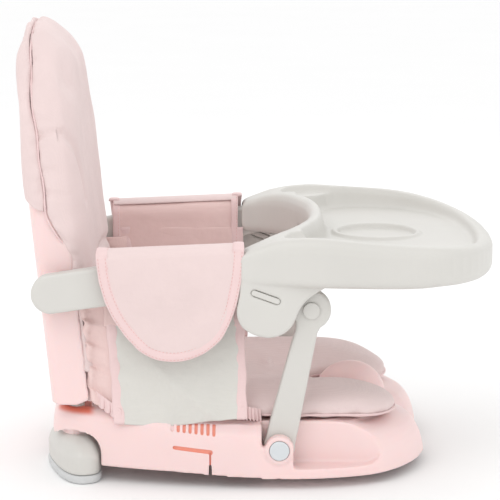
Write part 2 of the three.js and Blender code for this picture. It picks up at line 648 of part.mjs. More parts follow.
function tray() {
  const body = slab(new THREE.Shape(trayPlan()), TRAY.bottom, TRAY.top, 7, 3, 1);
  const well = loft([
    level(wellOutline, 9, TRAY.floor), level(wellOutline, 5, TRAY.floor + 1.5),
    level(wellOutline, 3, TRAY.floor + 5), level(wellOutline, 1.5, TRAY.top - 4),
    level(wellOutline, -1, TRAY.top - 1), level(wellOutline, -4, TRAY.top + 1),
    level(wellOutline, -4, TRAY.top + 20),
  ]);
  const ledgeOutline = curvedShape(ledgeShape, 28).getPoints().map((p) => new THREE.Vector2(p.x, -p.y));
  const ledge = loft([
    level(ledgeOutline, 3, TRAY.top - 3.8), level(ledgeOutline, 0.8, TRAY.top - 2.4),
    level(ledgeOutline, -1, TRAY.top - 0.6), level(ledgeOutline, -3, TRAY.top + 0.8),
    level(ledgeOutline, -3, TRAY.top + 20),
  ]);
  const underside = loft([level(wellOutline, 1, 150), level(wellOutline, 4, TRAY.floor - WALL)]);
  const channel = box([-30, 61.5], [-157, -137.4], [150, 222.5]);
  const lightening = box([30, 60], [-133.4, -112], [150, 213]);
  const apron = box([-30, 62], [-64, 64], [150, 213]);
  const lip = new THREE.LatheGeometry(
    [[CUP.radius - 1, -3], [CUP.radius + 7, -3], [CUP.radius + 6, 0.6], [CUP.radius + 4, 2.2],
      [CUP.radius + 1.5, 2.2], [CUP.radius - 1, 0.6], [CUP.radius - 1, -3]]
      .map((p) => new THREE.Vector2(...p)), 40,
  ).rotateX(Math.PI / 2).translate(CUP.x, 0, TRAY.floor);
  const recess = upright(CUP.radius - 0.5, TRAY.floor - CUP.depth, TRAY.floor + 10, 40)
    .translate(CUP.x, 0, 0);
  const cuts = [well, underside, apron, ...[channel, lightening, ledge].flatMap(bothSides)];
  const shaped = bent(cut(join(cut(body, ...cuts), lip), recess), 18, (p) => { p.z += trayLift(p); });
  const skirts = bothSides(plate(skirtShape, SKIRT_Y, 1, 2));
  return cut(join(shaped, ...skirts), ...bothSides(latchPlate(GAP, [140, 178], 0)));
}
add("tray", tray(), GREY, 0.4);
addPair("tray_latch", latchPlate(0, [SKIRT_Y[0] + 0.4, SKIRT_Y[1] + 0.4], 0.5), GREY, 0.42);

// ---- Fabric on the armrests ---------------------------------------------------------------------
// A sleeve over the armrest, drawn in the Y-Z plane and run along X with the bar's slope.
const WRAP = { rear: -142, front: -14.6, inner: 135, outer: 160.4, thick: 2.4, slope: 0.0427 };

function armWrap() {
  const { inner, outer, thick, rear, front } = WRAP;
  const round = 9;
  const top = 228.5;
  const arch = (side, grow, foot) => [
    [side(inner, grow), foot], [side(inner, grow), top - round],
    [side(inner + 3, grow), top - 3 - grow], [side(inner + 9, grow), top - grow],
    [side(outer - 9, -grow), top - grow], [side(outer - 3, -grow), top - 3 - grow],
    [side(outer, -grow), top - round], [side(outer, -grow), foot],
  ];
  const outside = arch((y) => y, 0, 200);
  const within = arch((y, grow) => y + grow, thick, 200).reverse();
  const shape = new THREE.Shape([...outside, ...within].map(([y, z]) => new THREE.Vector2(-y, z)));
  // The section's first axis becomes Y and its second Z, and the run becomes X.
  const along = slab(shape, rear, front).applyMatrix4(
    new THREE.Matrix4().set(0, 0, 1, 0, 1, 0, 0, 0, 0, 1, 0, 0, 0, 0, 0, 1),
  );
  return warp(along, (p) => { p.z += WRAP.slope * (p.x - front); });
}
addPair("arm_wrap", armWrap(), FABRIC_PINK, 0.85);

const flapShape = curvedShape(
  [
    [-142, 192.2], [-128, 160], [-108, 137], [-76, 126], [-46, 133], [-26, 156], [-19.5, 183],
    [-19.5, 198.9],
  ],
  22,
);
addPair("arm_flap", plate(flapShape, [158, 160.4]), FABRIC_PINK, 0.85);

const sidePanelShape = new THREE.Shape([
  new THREE.Vector2(-128, 71.5), new THREE.Vector2(-100, 69.5), new THREE.Vector2(-50, 62.5),
  new THREE.Vector2(-12, 62), new THREE.Vector2(-16, 198.9),
  new THREE.Vector2(-141, 192.2),
]);
addPair("side_panel", plate(sidePanelShape, [135, 137.4]), CREAM, 0.85);

export default seat;
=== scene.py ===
"""Looks of the folding booster seat: moulded plastic, padded fabric covers, webbing and trims.

Points are in millimetres where they are worked out, and turned to metres when a piece is made.
+X points to the tray, +Y to the child's left, +Z up.
"""
import math

import bmesh
import bpy
import numpy as np
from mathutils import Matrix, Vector, noise


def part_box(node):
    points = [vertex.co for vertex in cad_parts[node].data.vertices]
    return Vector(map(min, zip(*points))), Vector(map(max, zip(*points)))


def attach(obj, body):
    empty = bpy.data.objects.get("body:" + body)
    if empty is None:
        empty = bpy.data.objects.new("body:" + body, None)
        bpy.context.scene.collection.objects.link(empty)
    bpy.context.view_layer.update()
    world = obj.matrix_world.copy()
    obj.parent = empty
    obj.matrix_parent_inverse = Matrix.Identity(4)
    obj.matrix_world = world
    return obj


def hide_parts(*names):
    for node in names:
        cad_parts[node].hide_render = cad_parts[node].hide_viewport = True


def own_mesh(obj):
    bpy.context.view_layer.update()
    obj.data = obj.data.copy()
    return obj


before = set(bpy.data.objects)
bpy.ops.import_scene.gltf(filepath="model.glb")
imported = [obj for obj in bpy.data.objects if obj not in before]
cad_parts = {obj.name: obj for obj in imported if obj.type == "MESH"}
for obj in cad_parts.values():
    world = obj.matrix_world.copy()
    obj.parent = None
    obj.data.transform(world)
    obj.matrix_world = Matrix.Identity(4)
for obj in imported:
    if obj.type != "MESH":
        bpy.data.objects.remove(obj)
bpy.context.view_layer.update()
MM = 0.001
SIDES = {"right": -1, "left": 1}

# ---- Camera, light and world ------------------------------------------------------------------
scene = bpy.context.scene
camera = bpy.data.objects.new("camera", bpy.data.cameras.new("camera"))
camera.data.lens = 144
camera.data.sensor_width = 36
camera.location = (-0.005, -1.9665, 0.5625)  # metres
camera.rotation_euler = (math.radians(79.5), 0, 0)
scene.collection.objects.link(camera)
scene.camera = camera
scene.view_settings.view_transform = "Standard"


LIGHTS_AIM = Vector((0, 0, 0.2))


def area_light(name, place, size, power, color=(1, 1, 1)):
    """A round soft light (metres, watts) aimed at the middle of the seat."""
    light = bpy.data.objects.new(name, bpy.data.lights.new(name, "AREA"))
    light.data.shape = "DISK"
    light.data.size = size
    light.data.energy = power
    light.data.color = color
    light.location = place
    aim = LIGHTS_AIM - Vector(place)
    light.rotation_euler = aim.to_track_quat("-Z", "Y").to_euler()
    scene.collection.objects.link(light)


area_light("key", (-0.9, -1.4, 1.9), 1.4, 8, (1, 0.985, 0.97))
area_light("low", (0.2, -2.2, 0.35), 1.2, 1.3)
area_light("fill", (1.6, -1.0, 0.9), 1.6, 2.5)
area_light("rim", (0.3, 1.6, 1.5), 1.6, 4)
world = bpy.data.worlds.new("studio")
world.use_nodes = True
backdrop = world.node_tree.nodes["Background"]
backdrop.inputs["Color"].default_value = (1, 1, 1, 1)
backdrop.inputs["Strength"].default_value = 1.05
scene.world = world


# ---- Materials --------------------------------------------------------------------------------
class Nodes:
    """A small hand for building node trees."""

    def __init__(self, name):
        self.material = bpy.data.materials.new(name)
        self.material.use_nodes = True
        self.tree = self.material.node_tree
        self.shader = self.tree.nodes["Principled BSDF"]
        self.place = self.add("ShaderNodeTexCoord").outputs["Object"]

    def add(self, kind, inputs=None, **settings):
        node = self.tree.nodes.new(kind)
        for key, value in settings.items():
            setattr(node, key, value)
        for key, value in (inputs or {}).items():
            if isinstance(value, bpy.types.NodeSocket):
                self.tree.links.new(value, node.inputs[key])
            else:
                node.inputs[key].default_value = value
        return node

    def noise(self, scale, detail=3, place=None):
        inputs = {"Scale": scale, "Detail": detail, "Vector": place or self.place}
        return self.add("ShaderNodeTexNoise", inputs).outputs["Fac"]

    def ramp(self, value, low, high, start=0.0, end=1.0):
        node = self.add("ShaderNodeValToRGB", {"Fac": value})
        node.color_ramp.elements[0].color, node.color_ramp.elements[1].color = low, high
        node.color_ramp.elements[0].position = start
        node.color_ramp.elements[1].position = end
        return node.outputs["Color"]

    def math(self, operation, a, b):
        return self.add("ShaderNodeMath", {0: a, 1: b}, operation=operation).outputs[0]

    def bump(self, height, strength, distance, before=None):
        inputs = {"Height": height, "Strength": strength, "Distance": distance}
        if before:
            inputs["Normal"] = before
        return self.add("ShaderNodeBump", inputs).outputs["Normal"]

    def link(self, output, name):
        self.tree.links.new(output, self.shader.inputs[name])

    def set(self, **values):
        for name, value in values.items():
            self.shader.inputs[name.replace("_", " ")].default_value = value


def linear(r, g, b):
    """A colour given in 0 to 255, as linear light."""

    def one(v):
        v /= 255
        return v / 12.92 if v <= 0.04045 else ((v + 0.055) / 1.055) ** 2.4

    return (one(r), one(g), one(b), 1.0)


def darker(color, share):
    return tuple(c * share for c in color[:3]) + (1.0,)


# Painted glow: a warm orange put into the pink plastic's base colour, standing in for light shining through
# the thin plastic.
PAINTED_GLOW = linear(232, 112, 84)


def plastic(name, color, roughness, grain=0.12, glow=0.0):
    """Moulded plastic with a fine grain; a glowing one lets a little light through by subsurface scattering,
    and gets painted glow mixed into its base colour where its glow attribute is set.
    """
    n = Nodes(name)
    shade = n.ramp(n.noise(9), darker(color, 0.965), color, 0.35, 0.65)
    if glow:
        # Painted glow: the glow attribute mixes the warm colour into the base colour, which is painted light
        # in the crevices.
        painted_glow_mask = n.add("ShaderNodeAttribute", attribute_name="glow").outputs["Fac"]
        mix = n.add("ShaderNodeMix", {0: painted_glow_mask, 6: shade, 7: PAINTED_GLOW}, data_type="RGBA")
        shade = mix.outputs[2]
    n.link(shade, "Base Color")
    wear = n.noise(45, 5)
    limits = {"To Min": roughness - 0.05, "To Max": roughness + 0.07}
    n.link(n.add("ShaderNodeMapRange", {"Value": wear, **limits}).outputs[0], "Roughness")
    fine = n.bump(n.noise(1900, 2), grain, 0.00025)
    n.link(n.bump(n.noise(14, 1), 0.05, 0.004, fine), "Normal")
    if glow:
        n.set(Subsurface_Weight=glow, Subsurface_Scale=0.012)
        n.shader.inputs["Subsurface Radius"].default_value = (1.0, 0.3, 0.2)
    n.set(Specular_IOR_Level=0.45)
    return n.material


def fabric(name, color, weave=0.3, wrinkle=0.3, sheen=0.2, pitch=0.9):
    """Plain woven cloth: crossed threads, soft creases and a little colour variation."""
    n = Nodes(name)
    waves_per_metre = 314.0
    spread = n.ramp(n.noise(22, 4), darker(color, 0.95), color, 0.3, 0.7)
    waves = []
    for axis in ("X", "Y", "Z"):
        inputs = {"Vector": n.place, "Scale": waves_per_metre / pitch, "Distortion": 0.6, "Detail": 1.0}
        waves.append(n.add("ShaderNodeTexWave", inputs, bands_direction=axis).outputs["Fac"])
    threads = n.math("MULTIPLY", n.math("ADD", waves[0], waves[1]), waves[2])
    limits = {"From Max": 2.0, "To Min": 0.97, "To Max": 1.02}
    shade = n.add("ShaderNodeMapRange", {"Value": threads, **limits})
    tint = n.add("ShaderNodeVectorMath", {0: spread, "Scale": shade.outputs[0]}, operation="SCALE")
    n.link(tint.outputs[0], "Base Color")
    first = n.bump(threads, weave, 0.0005)
    n.link(n.bump(n.noise(34, 4), wrinkle, 0.006, first), "Normal")
    n.set(Roughness=0.86, Sheen_Weight=sheen, Sheen_Roughness=0.5, Specular_IOR_Level=0.25)
    return n.material


def webbing(name, color):
    """Strap webbing: ribs along the strap, crossed by a fine weft."""
    n = Nodes(name)
    inputs = {"Vector": n.place, "Scale": 90.0, "Distortion": 0.2}
    ribs = n.add("ShaderNodeTexWave", inputs, bands_direction="Y").outputs["Fac"]
    weft = n.add("ShaderNodeTexWave", {**inputs, "Scale": 210.0}, bands_direction="X").outputs["Fac"]
    n.link(n.ramp(ribs, darker(color, 0.9), color), "Base Color")
    n.link(n.bump(n.math("MULTIPLY", ribs, weft), 0.5, 0.0006), "Normal")
    n.set(Roughness=0.75, Sheen_Weight=0.15)
    return n.material


def metal(name, color):
    """A pale brushed cap."""
    n = Nodes(name)
    stretch = n.add("ShaderNodeMapping", {"Vector": n.place, "Scale": (400.0, 400.0, 6.0)}).outputs[0]
    n.link(n.bump(n.noise(1.0, 2, stretch), 0.15, 0.0002), "Normal")
    n.link(n.ramp(n.noise(60), darker(color, 0.92), color), "Base Color")
    n.set(Metallic=0.35, Roughness=0.34)
    return n.material


PINK_PLASTIC = plastic("pink_moulding", linear(240, 211, 209), 0.36, 0.1, 0.15)
# Painted glow: the warm orange of the vent and slot walls stands in for light shining through the thin
# plastic.
CREVICE_PAINTED_GLOW = plastic("pink_crevice_painted_glow", linear(238, 156, 136), 0.5, 0.1)
GREY_PLASTIC = plastic("grey_moulding", linear(207, 205, 200), 0.42, 0.22)
SOLE = plastic("sole_rubber_matte", linear(204, 205, 205), 0.75, 0.5)
PIN = metal("pin_cap", linear(214, 219, 222))
PINK_FABRIC = fabric("pink_cloth", linear(230, 210, 208))
INNER_FABRIC = fabric("pink_cloth_inner", linear(236, 208, 204))
BINDING = fabric("pink_binding", linear(236, 209, 208), 0.3, 0.12, 0.2, 0.7)
CREAM_FABRIC = fabric("cream_cloth", linear(218, 216, 210), 0.35, 0.35)
# Thread darkened with painted shade: its darker pink stands in for the shadow in the stitch dimples.
THREAD_PAINTED_SHADE = fabric("thread", linear(229, 184, 180), 0.2, 0.0, 0.2, 0.5)
WHITE_THREAD = fabric("white_thread", linear(244, 243, 240), 0.2, 0.0, 0.2, 0.5)
STRAP = webbing("strap_webbing", linear(214, 211, 206))


# ---- Mesh helpers -----------------------------------------------------------------------------
def smooth_shaded(mesh):
    mesh.polygons.foreach_set("use_smooth", [True] * len(mesh.polygons))


def one_material(obj, material):
    obj.data.materials.clear()
    obj.data.materials.append(material)
    smooth_shaded(obj.data)


def piece(name, verts, faces, material, body):
    """A new object from points in millimetres, riding on a body if one is given."""
    mesh = bpy.data.meshes.new(name)
    mesh.from_pydata([tuple(float(c) * MM for c in v) for v in verts], [], faces)
    bm = bmesh.new()
    bm.from_mesh(mesh)
    bmesh.ops.remove_doubles(bm, verts=bm.verts, dist=2e-6)
    bmesh.ops.recalc_face_normals(bm, faces=bm.faces)
    bm.to_mesh(mesh)
    bm.free()
    mesh.materials.append(material)
    smooth_shaded(mesh)
    obj = bpy.data.objects.new(name, mesh)
    scene.collection.objects.link(obj)
    if body:
        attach(obj, body)
    return obj


def ring_faces(rings, n, closed_ring=True, closed_run=False):
    """Faces between neighbouring rings of n points; open rings make a flat sheet."""
    faces = []
    last = rings if closed_run else rings - 1
    for r in range(last):
        for i in range(n if closed_ring else n - 1):
            a, b = r * n + i, r * n + (i + 1) % n
            c, d = ((r + 1) % rings) * n + (i + 1) % n, ((r + 1) % rings) * n + i
            faces.append((a, b, c, d))
    return faces


def lofted(name, rings, material, body, caps=True):
    """A tube through rings of points, closed at both ends unless caps is off."""
    n = len(rings[0])
    verts = [p for ring in rings for p in ring]
    faces = ring_faces(len(rings), n)
    if caps:
        faces += [tuple(range(n))[::-1], tuple(range(len(verts) - n, len(verts)))]
    return piece(name, verts, faces, material, body)


def modify(obj, kind, **settings):
    modifier = obj.modifiers.new(kind.lower(), kind)
    for key, value in settings.items():
        setattr(modifier, key, value)
    return modifier


def baked(obj):
    """Applies the modifiers to the mesh."""
    bpy.context.view_layer.update()
    graph = bpy.context.evaluated_depsgraph_get()
    mesh = bpy.data.meshes.new_from_object(obj.evaluated_get(graph))
    obj.modifiers.clear()
    obj.data = mesh
    return obj


def cloth_sheet(name, verts, runs, n, material, body, thickness):
    """A thin sheet with softened edges, from runs of n points each."""
    obj = piece(name, verts, ring_faces(runs, n, closed_ring=False), material, None)
    thickened(obj, thickness)
    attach(obj, body)
    return obj


def thickened(obj, thickness, offset=0, levels=1):
    """Gives a sheet its thickness (metres) and rounds its edges."""
    modify(obj, "SOLIDIFY", thickness=thickness, offset=offset)
    modify(obj, "SUBSURF", levels=levels, render_levels=levels)
    return baked(obj)


def softened(obj, voxel, rounds):
    """Meshes a piece anew with cells of a size (mm) and rounds its edges."""
    modify(obj, "REMESH", mode="VOXEL", voxel_size=voxel * MM, adaptivity=0)
    modify(obj, "SMOOTH", factor=0.5, iterations=rounds)
    return baked(obj)


def points_of(obj):
    co = np.zeros(len(obj.data.vertices) * 3)
    obj.data.vertices.foreach_get("co", co)
    return co.reshape(-1, 3)


def normals_of(obj):
    out = np.zeros(len(obj.data.vertices) * 3)
    obj.data.vertices.foreach_get("normal", out)
    return out.reshape(-1, 3)


def set_points(obj, co):
    obj.data.vertices.foreach_set("co", np.ascontiguousarray(co, dtype=np.float64).ravel())
    obj.data.update()


def ripple(p, size, seed):
    """Smooth noise between -1 and 1 at a point in metres."""
    return noise.noise(Vector((p[0] / size + seed, p[1] / size - 2 * seed, p[2] / size + 3 * seed)))


def moulded(node, material, body, voxel, rounds):
    """A finely meshed copy of a moulded CAD node, with the soft edges of a moulding."""
    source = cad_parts[node]
    obj = bpy.data.objects.new("look_" + node, source.data.copy())
    scene.collection.objects.link(obj)
    softened(obj, voxel, rounds)
    one_material(obj, material)
    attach(obj, body)
    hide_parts(node)
    return obj


CLOTH = {
    "quality": 5,
    "mass": 0.25,
    "tension_stiffness": 12,
    "compression_stiffness": 12,
    "shear_stiffness": 4,
    "bending_stiffness": 0.4,
    "use_pressure": True,
}
CLOTH_FRAMES = 18
SMOOTHING_TURNS = 4


def puffed(obj, pressure, cap, held):
    """Cloth simulation: the piece swells under pressure, each point along its normal by at most
    the cap (mm), and the held points (1 in held) stay where they are."""
    start = points_of(obj)
    cloth = modify(obj, "CLOTH")
    for key, value in CLOTH.items():
        setattr(cloth.settings, key, value)
    cloth.settings.uniform_pressure_force = pressure
    cloth.settings.effector_weights.gravity = 0
    group = obj.vertex_groups.new(name="held")
    for i in np.nonzero(held)[0]:
        group.add([int(i)], float(held[i]), "REPLACE")
    cloth.settings.vertex_group_mass = "held"
    cloth.point_cache.frame_start, cloth.point_cache.frame_end = 1, CLOTH_FRAMES
    for f in range(1, CLOTH_FRAMES + 1):
        scene.frame_set(f)
    graph = bpy.context.evaluated_depsgraph_get()
    mesh = bpy.data.meshes.new_from_object(obj.evaluated_get(graph))
    end = np.zeros(len(mesh.vertices) * 3)
    mesh.vertices.foreach_get("co", end)
    bpy.data.meshes.remove(mesh)
    obj.modifiers.clear()
    obj.vertex_groups.clear()
    normals = normals_of(obj)
    out = np.clip(np.sum((end.reshape(-1, 3) - start) * normals, axis=1), -cap * MM, cap * MM)
    a, b = np.array([e.vertices[:] for e in obj.data.edges]).T
    count = np.maximum(np.bincount(a, minlength=len(out)) + np.bincount(b, minlength=len(out)), 1)
    for _ in range(SMOOTHING_TURNS):  # folds stay, single points don't stand out
        around = np.bincount(a, out[b], len(out)) + np.bincount(b, out[a], len(out))
        out = 0.4 * out + 0.6 * around / count
    set_points(obj, start + normals * (out * (1 - held))[:, None])
    scene.frame_set(1)


def smooth_path(points, step, closed=False):
    """Points about a step apart on a centripetal Catmull-Rom curve through the given points (mm)."""
    pts = [np.array(p, float) for p in points]
    n = len(pts)
    out = []
    for i in range(n if closed else n - 1):
        if closed:
            p = [pts[(i + k) % n] for k in (-1, 0, 1, 2)]
        else:
            p = [pts[i - 1] if i else 2 * pts[0] - pts[1], pts[i], pts[i + 1],
                 pts[i + 2] if i + 2 < n else 2 * pts[-1] - pts[-2]]
        t = [0.0]
        for k in range(3):
            t.append(t[-1] + max(np.linalg.norm(p[k + 1] - p[k]), 1e-9) ** 0.5)
        count = max(2, int(np.linalg.norm(p[2] - p[1]) / step) + 1)
        for j in range(count):
            u = t[1] + (t[2] - t[1]) * j / count
            a = [((t[k + 1] - u) * p[k] + (u - t[k]) * p[k + 1]) / (t[k + 1] - t[k]) for k in range(3)]
            b = [((t[k + 2] - u) * a[k] + (u - t[k]) * a[k + 1]) / (t[k + 2] - t[k]) for k in range(2)]
            out.append(((t[2] - u) * b[0] + (u - t[1]) * b[1]) / (t[2] - t[1]))
    if not closed:
        out.append(pts[-1])
    return np.array(out)


def sweep(name, path, facing, width, height, material, body, closed=False, wobble=0.0, seed=1.0, sides=12):
    """A flattened roll along a path (mm): width across the path, height along facing."""
    path = np.array(path, float)
    n = len(path)
    rings = []
    for i, p in enumerate(path):
        ahead = path[(i + 1) % n] if closed or i + 1 < n else path[i]
        behind = path[i - 1] if closed or i > 0 else path[i]
        along = ahead - behind
        along /= max(np.linalg.norm(along), 1e-9)
        up = np.array(facing(p) if callable(facing) else facing, float)
        up -= along * up.dot(along)
        up /= np.linalg.norm(up)
        side = np.cross(along, up)
        swell = 1 + wobble * ripple(p * MM, 0.012, seed)
        lift = wobble * 0.8 * ripple(p * MM, 0.02, seed + 5)
        ring = []
        for k in range(sides):
            a = 2 * math.pi * k / sides
            c, s = math.cos(a), math.sin(a)
            c = math.copysign(abs(c) ** 0.7, c) * width / 2 * swell
            s = math.copysign(abs(s) ** 0.9, s) * height / 2 * swell
            ring.append(p + side * c + up * (s + lift))
        rings.append(ring)
    verts = [q for ring in rings for q in ring]
    faces = ring_faces(n, sides, True, closed)
    if not closed:
        faces += [tuple(range(sides))[::-1], tuple(range(len(verts) - sides, len(verts)))]
    return piece(name, verts, faces, material, body)


def stitches(name, path, facing, pitch, length, thick, material, body):
    """Short rounded thread marks along a path (mm)."""
    sides = 6
    path = np.array(path, float)
    steps = np.linalg.norm(np.diff(path, axis=0), axis=1)
    run = np.concatenate([[0], np.cumsum(steps)])
    verts, faces = [], []
    at = pitch / 2
    while at + length < run[-1]:
        ends = [np.array([np.interp(at + d, run, path[:, k]) for k in range(3)]) for d in (0, length)]
        up = np.array(facing(ends[0]) if callable(facing) else facing, float)
        along = ends[1] - ends[0]
        along /= max(np.linalg.norm(along), 1e-9)
        up -= along * up.dot(along)
        up /= np.linalg.norm(up)
        side = np.cross(along, up)
        base = len(verts)
        for share, r in ((0, 0.2), (0.2, 0.9), (0.5, 1), (0.8, 0.9), (1, 0.2)):
            centre = ends[0] + (ends[1] - ends[0]) * share
            for k in range(sides):
                a = 2 * math.pi * k / sides
                verts.append(centre + (side * math.cos(a) + up * math.sin(a) * 0.7) * thick / 2 * r)
        last = len(verts) - sides
        faces += [tuple(base + i for i in f) for f in ring_faces(5, sides)]
        faces += [tuple(base + k for k in range(sides))[::-1], tuple(last + k for k in range(sides))]
        at += pitch
    return piece(name, verts, faces, material, body)


# ---- Moulded base -----------------------------------------------------------------------------
def step01(x, a, b):
    """0 before a, 1 after b, with a smooth rise between them."""
    t = min(1.0, max(0.0, (x - a) / (b - a)))
    return t * t * (3 - 2 * t)


WALL = 4  # of the moulded base
BASE_MIDDLE = -25  # X that the base's top closes on
STRUT_PIN = {"x": 22.5, "z": 38}  # pin of the strut on the base
POMMEL = {"x": 96, "z": 50, "long": 36, "wide": 23, "high": 35}
FRONT_FOOT = {"x": 104, "y": -92}


def seat_height(x):
    return 59 - 8 * step01(x, 70, 150)


def rim_height(x):
    return 68 + (seat_height(x) - 68) * step01(x, -110, -40)


def skirt_edge(x):
    return 16 - 6 * step01(x, -130, 30)


BASE_HALF = [
    (-198, 0), (-198, 80), (-194, 110), (-177, 129), (-144, 141), (-100, 152), (-40, 161), (20, 165.5),
    (70, 162), (115, 147), (148, 112), (166, 62), (160, 20), (149, 0),
]
FOOT = {"x": -175.0, "y": -96.0, "long": 54.0, "wide": 20.5, "turn": 18.0, "top": 25.0, "power": 2.6}
SHAFT = 0.42  # size of the foot's shaft as a share of the foot


def mirrored_outline(half, step):
    """A closed smooth outline in X and Y from its left half."""
    loop = [(x, y, 0) for x, y in half] + [(x, -y, 0) for x, y in reversed(half[1:-1])]
    return smooth_path(loop, step, closed=True)[:, :2]


def base_body(wall, step):
    """The solid outer form of the base, moved inwards by a wall."""
    outline = mirrored_outline(BASE_HALF, step)
    along = np.roll(outline, -1, 0) - np.roll(outline, 1, 0)
    along /= np.linalg.norm(along, axis=1, keepdims=True)
    inward = np.stack([along[:, 1], -along[:, 0]], 1)
    if (inward[0] @ (np.array([BASE_MIDDLE, 0]) - outline[0])) < 0:
        inward = -inward
    draft, front_flare = 4, 25
    rings = []
    for share in (0, 0.03, 0.1, 0.25, 0.4, 0.55, 0.7, 0.8, 0.87, 0.92, 0.96, 0.985, 1):
        ring = []
        for p, d in zip(outline, inward):
            x = p[0]
            shoulder = (5 + 5 * step01(x, -190, -140)) * max(0, (share - 0.75) / 0.25) ** 2
            away = draft * share + shoulder + wall
            away += front_flare * step01(x, 70, 150) * (1 - math.sqrt(1 - share * share))
            z = skirt_edge(x) + (rim_height(x) - skirt_edge(x)) * share - (wall if share > 0.5 else 0)
            q = p + d * away
            ring.append((q[0], q[1], z))
        rings.append(ring)
    if wall:
        rings.insert(0, [(x, y, z - 10) for x, y, z in rings[0]])
    last = rings[-1]
    step_down = lambda x: (rim_height(x) + 2 * seat_height(x)) / 3 + 0.8
    tops = [(0.97, rim_height), (0.94, rim_height), (0.92, step_down)]
    tops += [(share, seat_height) for share in (0.88, 0.7, 0.5, 0.3, 0.1)]
    for share, height in tops:
        ring = []
        for x, y, _ in last:
            q = BASE_MIDDLE + (x - BASE_MIDDLE) * share
            ring.append((q, y * share, height(q) - wall))
        rings.append(ring)
    return lofted("base_part", rings, PINK_PLASTIC, None)


def drawn(points, inner, outer, material=None):
    """A plate drawn in X and Z, on the right side, between two distances from the middle plane."""
    near = inner if callable(inner) else lambda x, z: inner
    rings = [[(x, -near(x, z), z) for x, z in points], [(x, -outer, z) for x, z in points]]
    return lofted("cutter", rings, material or PINK_PLASTIC, None)


def arc(cx, cz, radius, start, end, count=14):
    """Points of an arc in X and Z between two angles in degrees."""
    angles = np.radians(np.linspace(start, end, count))
    return [(cx + radius * math.cos(a), cz + radius * math.sin(a)) for a in angles]


def foot_outline(grow, scale=1.0, count=48):
    """The blunt oval of the right rear foot in X and Y."""
    turn = math.radians(FOOT["turn"] - 90)
    blunt = lambda c: math.copysign(abs(c) ** (2 / FOOT["power"]), c)
    out = []
    for k in range(count):
        a = 2 * math.pi * k / count
        u = (FOOT["long"] * scale + grow) * blunt(math.cos(a))
        v = (FOOT["wide"] * scale + grow) * blunt(math.sin(a))
        x = FOOT["x"] + u * math.cos(turn) - v * math.sin(turn)
        out.append((x, FOOT["y"] + u * math.sin(turn) + v * math.cos(turn)))
    return out


def upright_solid(outlines):
    """A solid through outlines given as (points in X and Y, height)."""
    return lofted("cutter", [[(x, y, z) for x, y in points] for points, z in outlines], PINK_PLASTIC, None)


def round_outline(x, y, radius, count=32):
    angles = [2 * math.pi * k / count for k in range(count)]
    return [(x + radius * math.cos(a), y + radius * math.sin(a)) for a in angles]


def combine(body, tool, operation, sides=True):
    """Joins or cuts a tool (made for the right side) and its mirror image."""
    tools = [tool]
    if sides:
        twin = bpy.data.objects.new("cutter", tool.data.copy())
        scene.collection.objects.link(twin)
        co = points_of(twin)
        co[:, 1] *= -1
        set_points(twin, co)
        twin.data.flip_normals()
        tools.append(twin)
    for t in tools:
        modify(body, "BOOLEAN", operation=operation, object=t, solver="MANIFOLD")
        baked(body)
        bpy.data.objects.remove(t)


def mark_painted_glow(obj, amount):
    """Stores how much of the painted warm glow, light painted into the base colour, each vertex shows."""
    values = [min(1.0, max(0.0, amount(p / MM))) for p in points_of(obj)]
    attribute = obj.data.attributes.new("glow", "FLOAT", "POINT")
    attribute.data.foreach_set("value", values)


def kept_inside(tool, solid):
    modify(tool, "BOOLEAN", operation="INTERSECT", object=solid, solver="MANIFOLD")
    return baked(tool)


def pommel():
    rings = []
    for a in np.radians(np.linspace(2, 88, 18)):
        long, wide = POMMEL["long"] * math.cos(a), POMMEL["wide"] * math.cos(a)
        ring = [(POMMEL["x"] + long * x, wide * y) for x, y in round_outline(0, 0, 1, 56)]
        rings.append((ring, POMMEL["z"] + POMMEL["high"] * math.sin(a)))
    return upright_solid(rings)


def foot_arch():
    """The opening round a rear foot, closing over its dome."""
    outline = foot_outline(2.4)
    rings = [(outline, -5), (outline, FOOT["top"] + 2)]
    for share, z in ((0.975, 33), (0.92, 38), (0.84, 42), (0.7, 46), (0.5, 48.4), (0.1, 49.5)):
        fx, fy = FOOT["x"], FOOT["y"]
        rings.append(([(fx + (x - fx) * share, fy + (y - fy) * share) for x, y in outline], z))
    return upright_solid(rings)


def add_sockets(body):
    """Guides of the four feet."""
    front = (FRONT_FOOT["x"], FRONT_FOOT["y"])
    for outline, low, high, operation in (
        (foot_outline(4, SHAFT), 37, 60, "UNION"),
        (foot_outline(0.7, SHAFT), 20, 62, "DIFFERENCE"),
        (round_outline(*front, 12.4), 20, 51, "UNION"),
        (round_outline(*front, 9.4), 0, 49, "DIFFERENCE"),
    ):
        combine(body, upright_solid([(outline, low), (outline, high)]), operation)


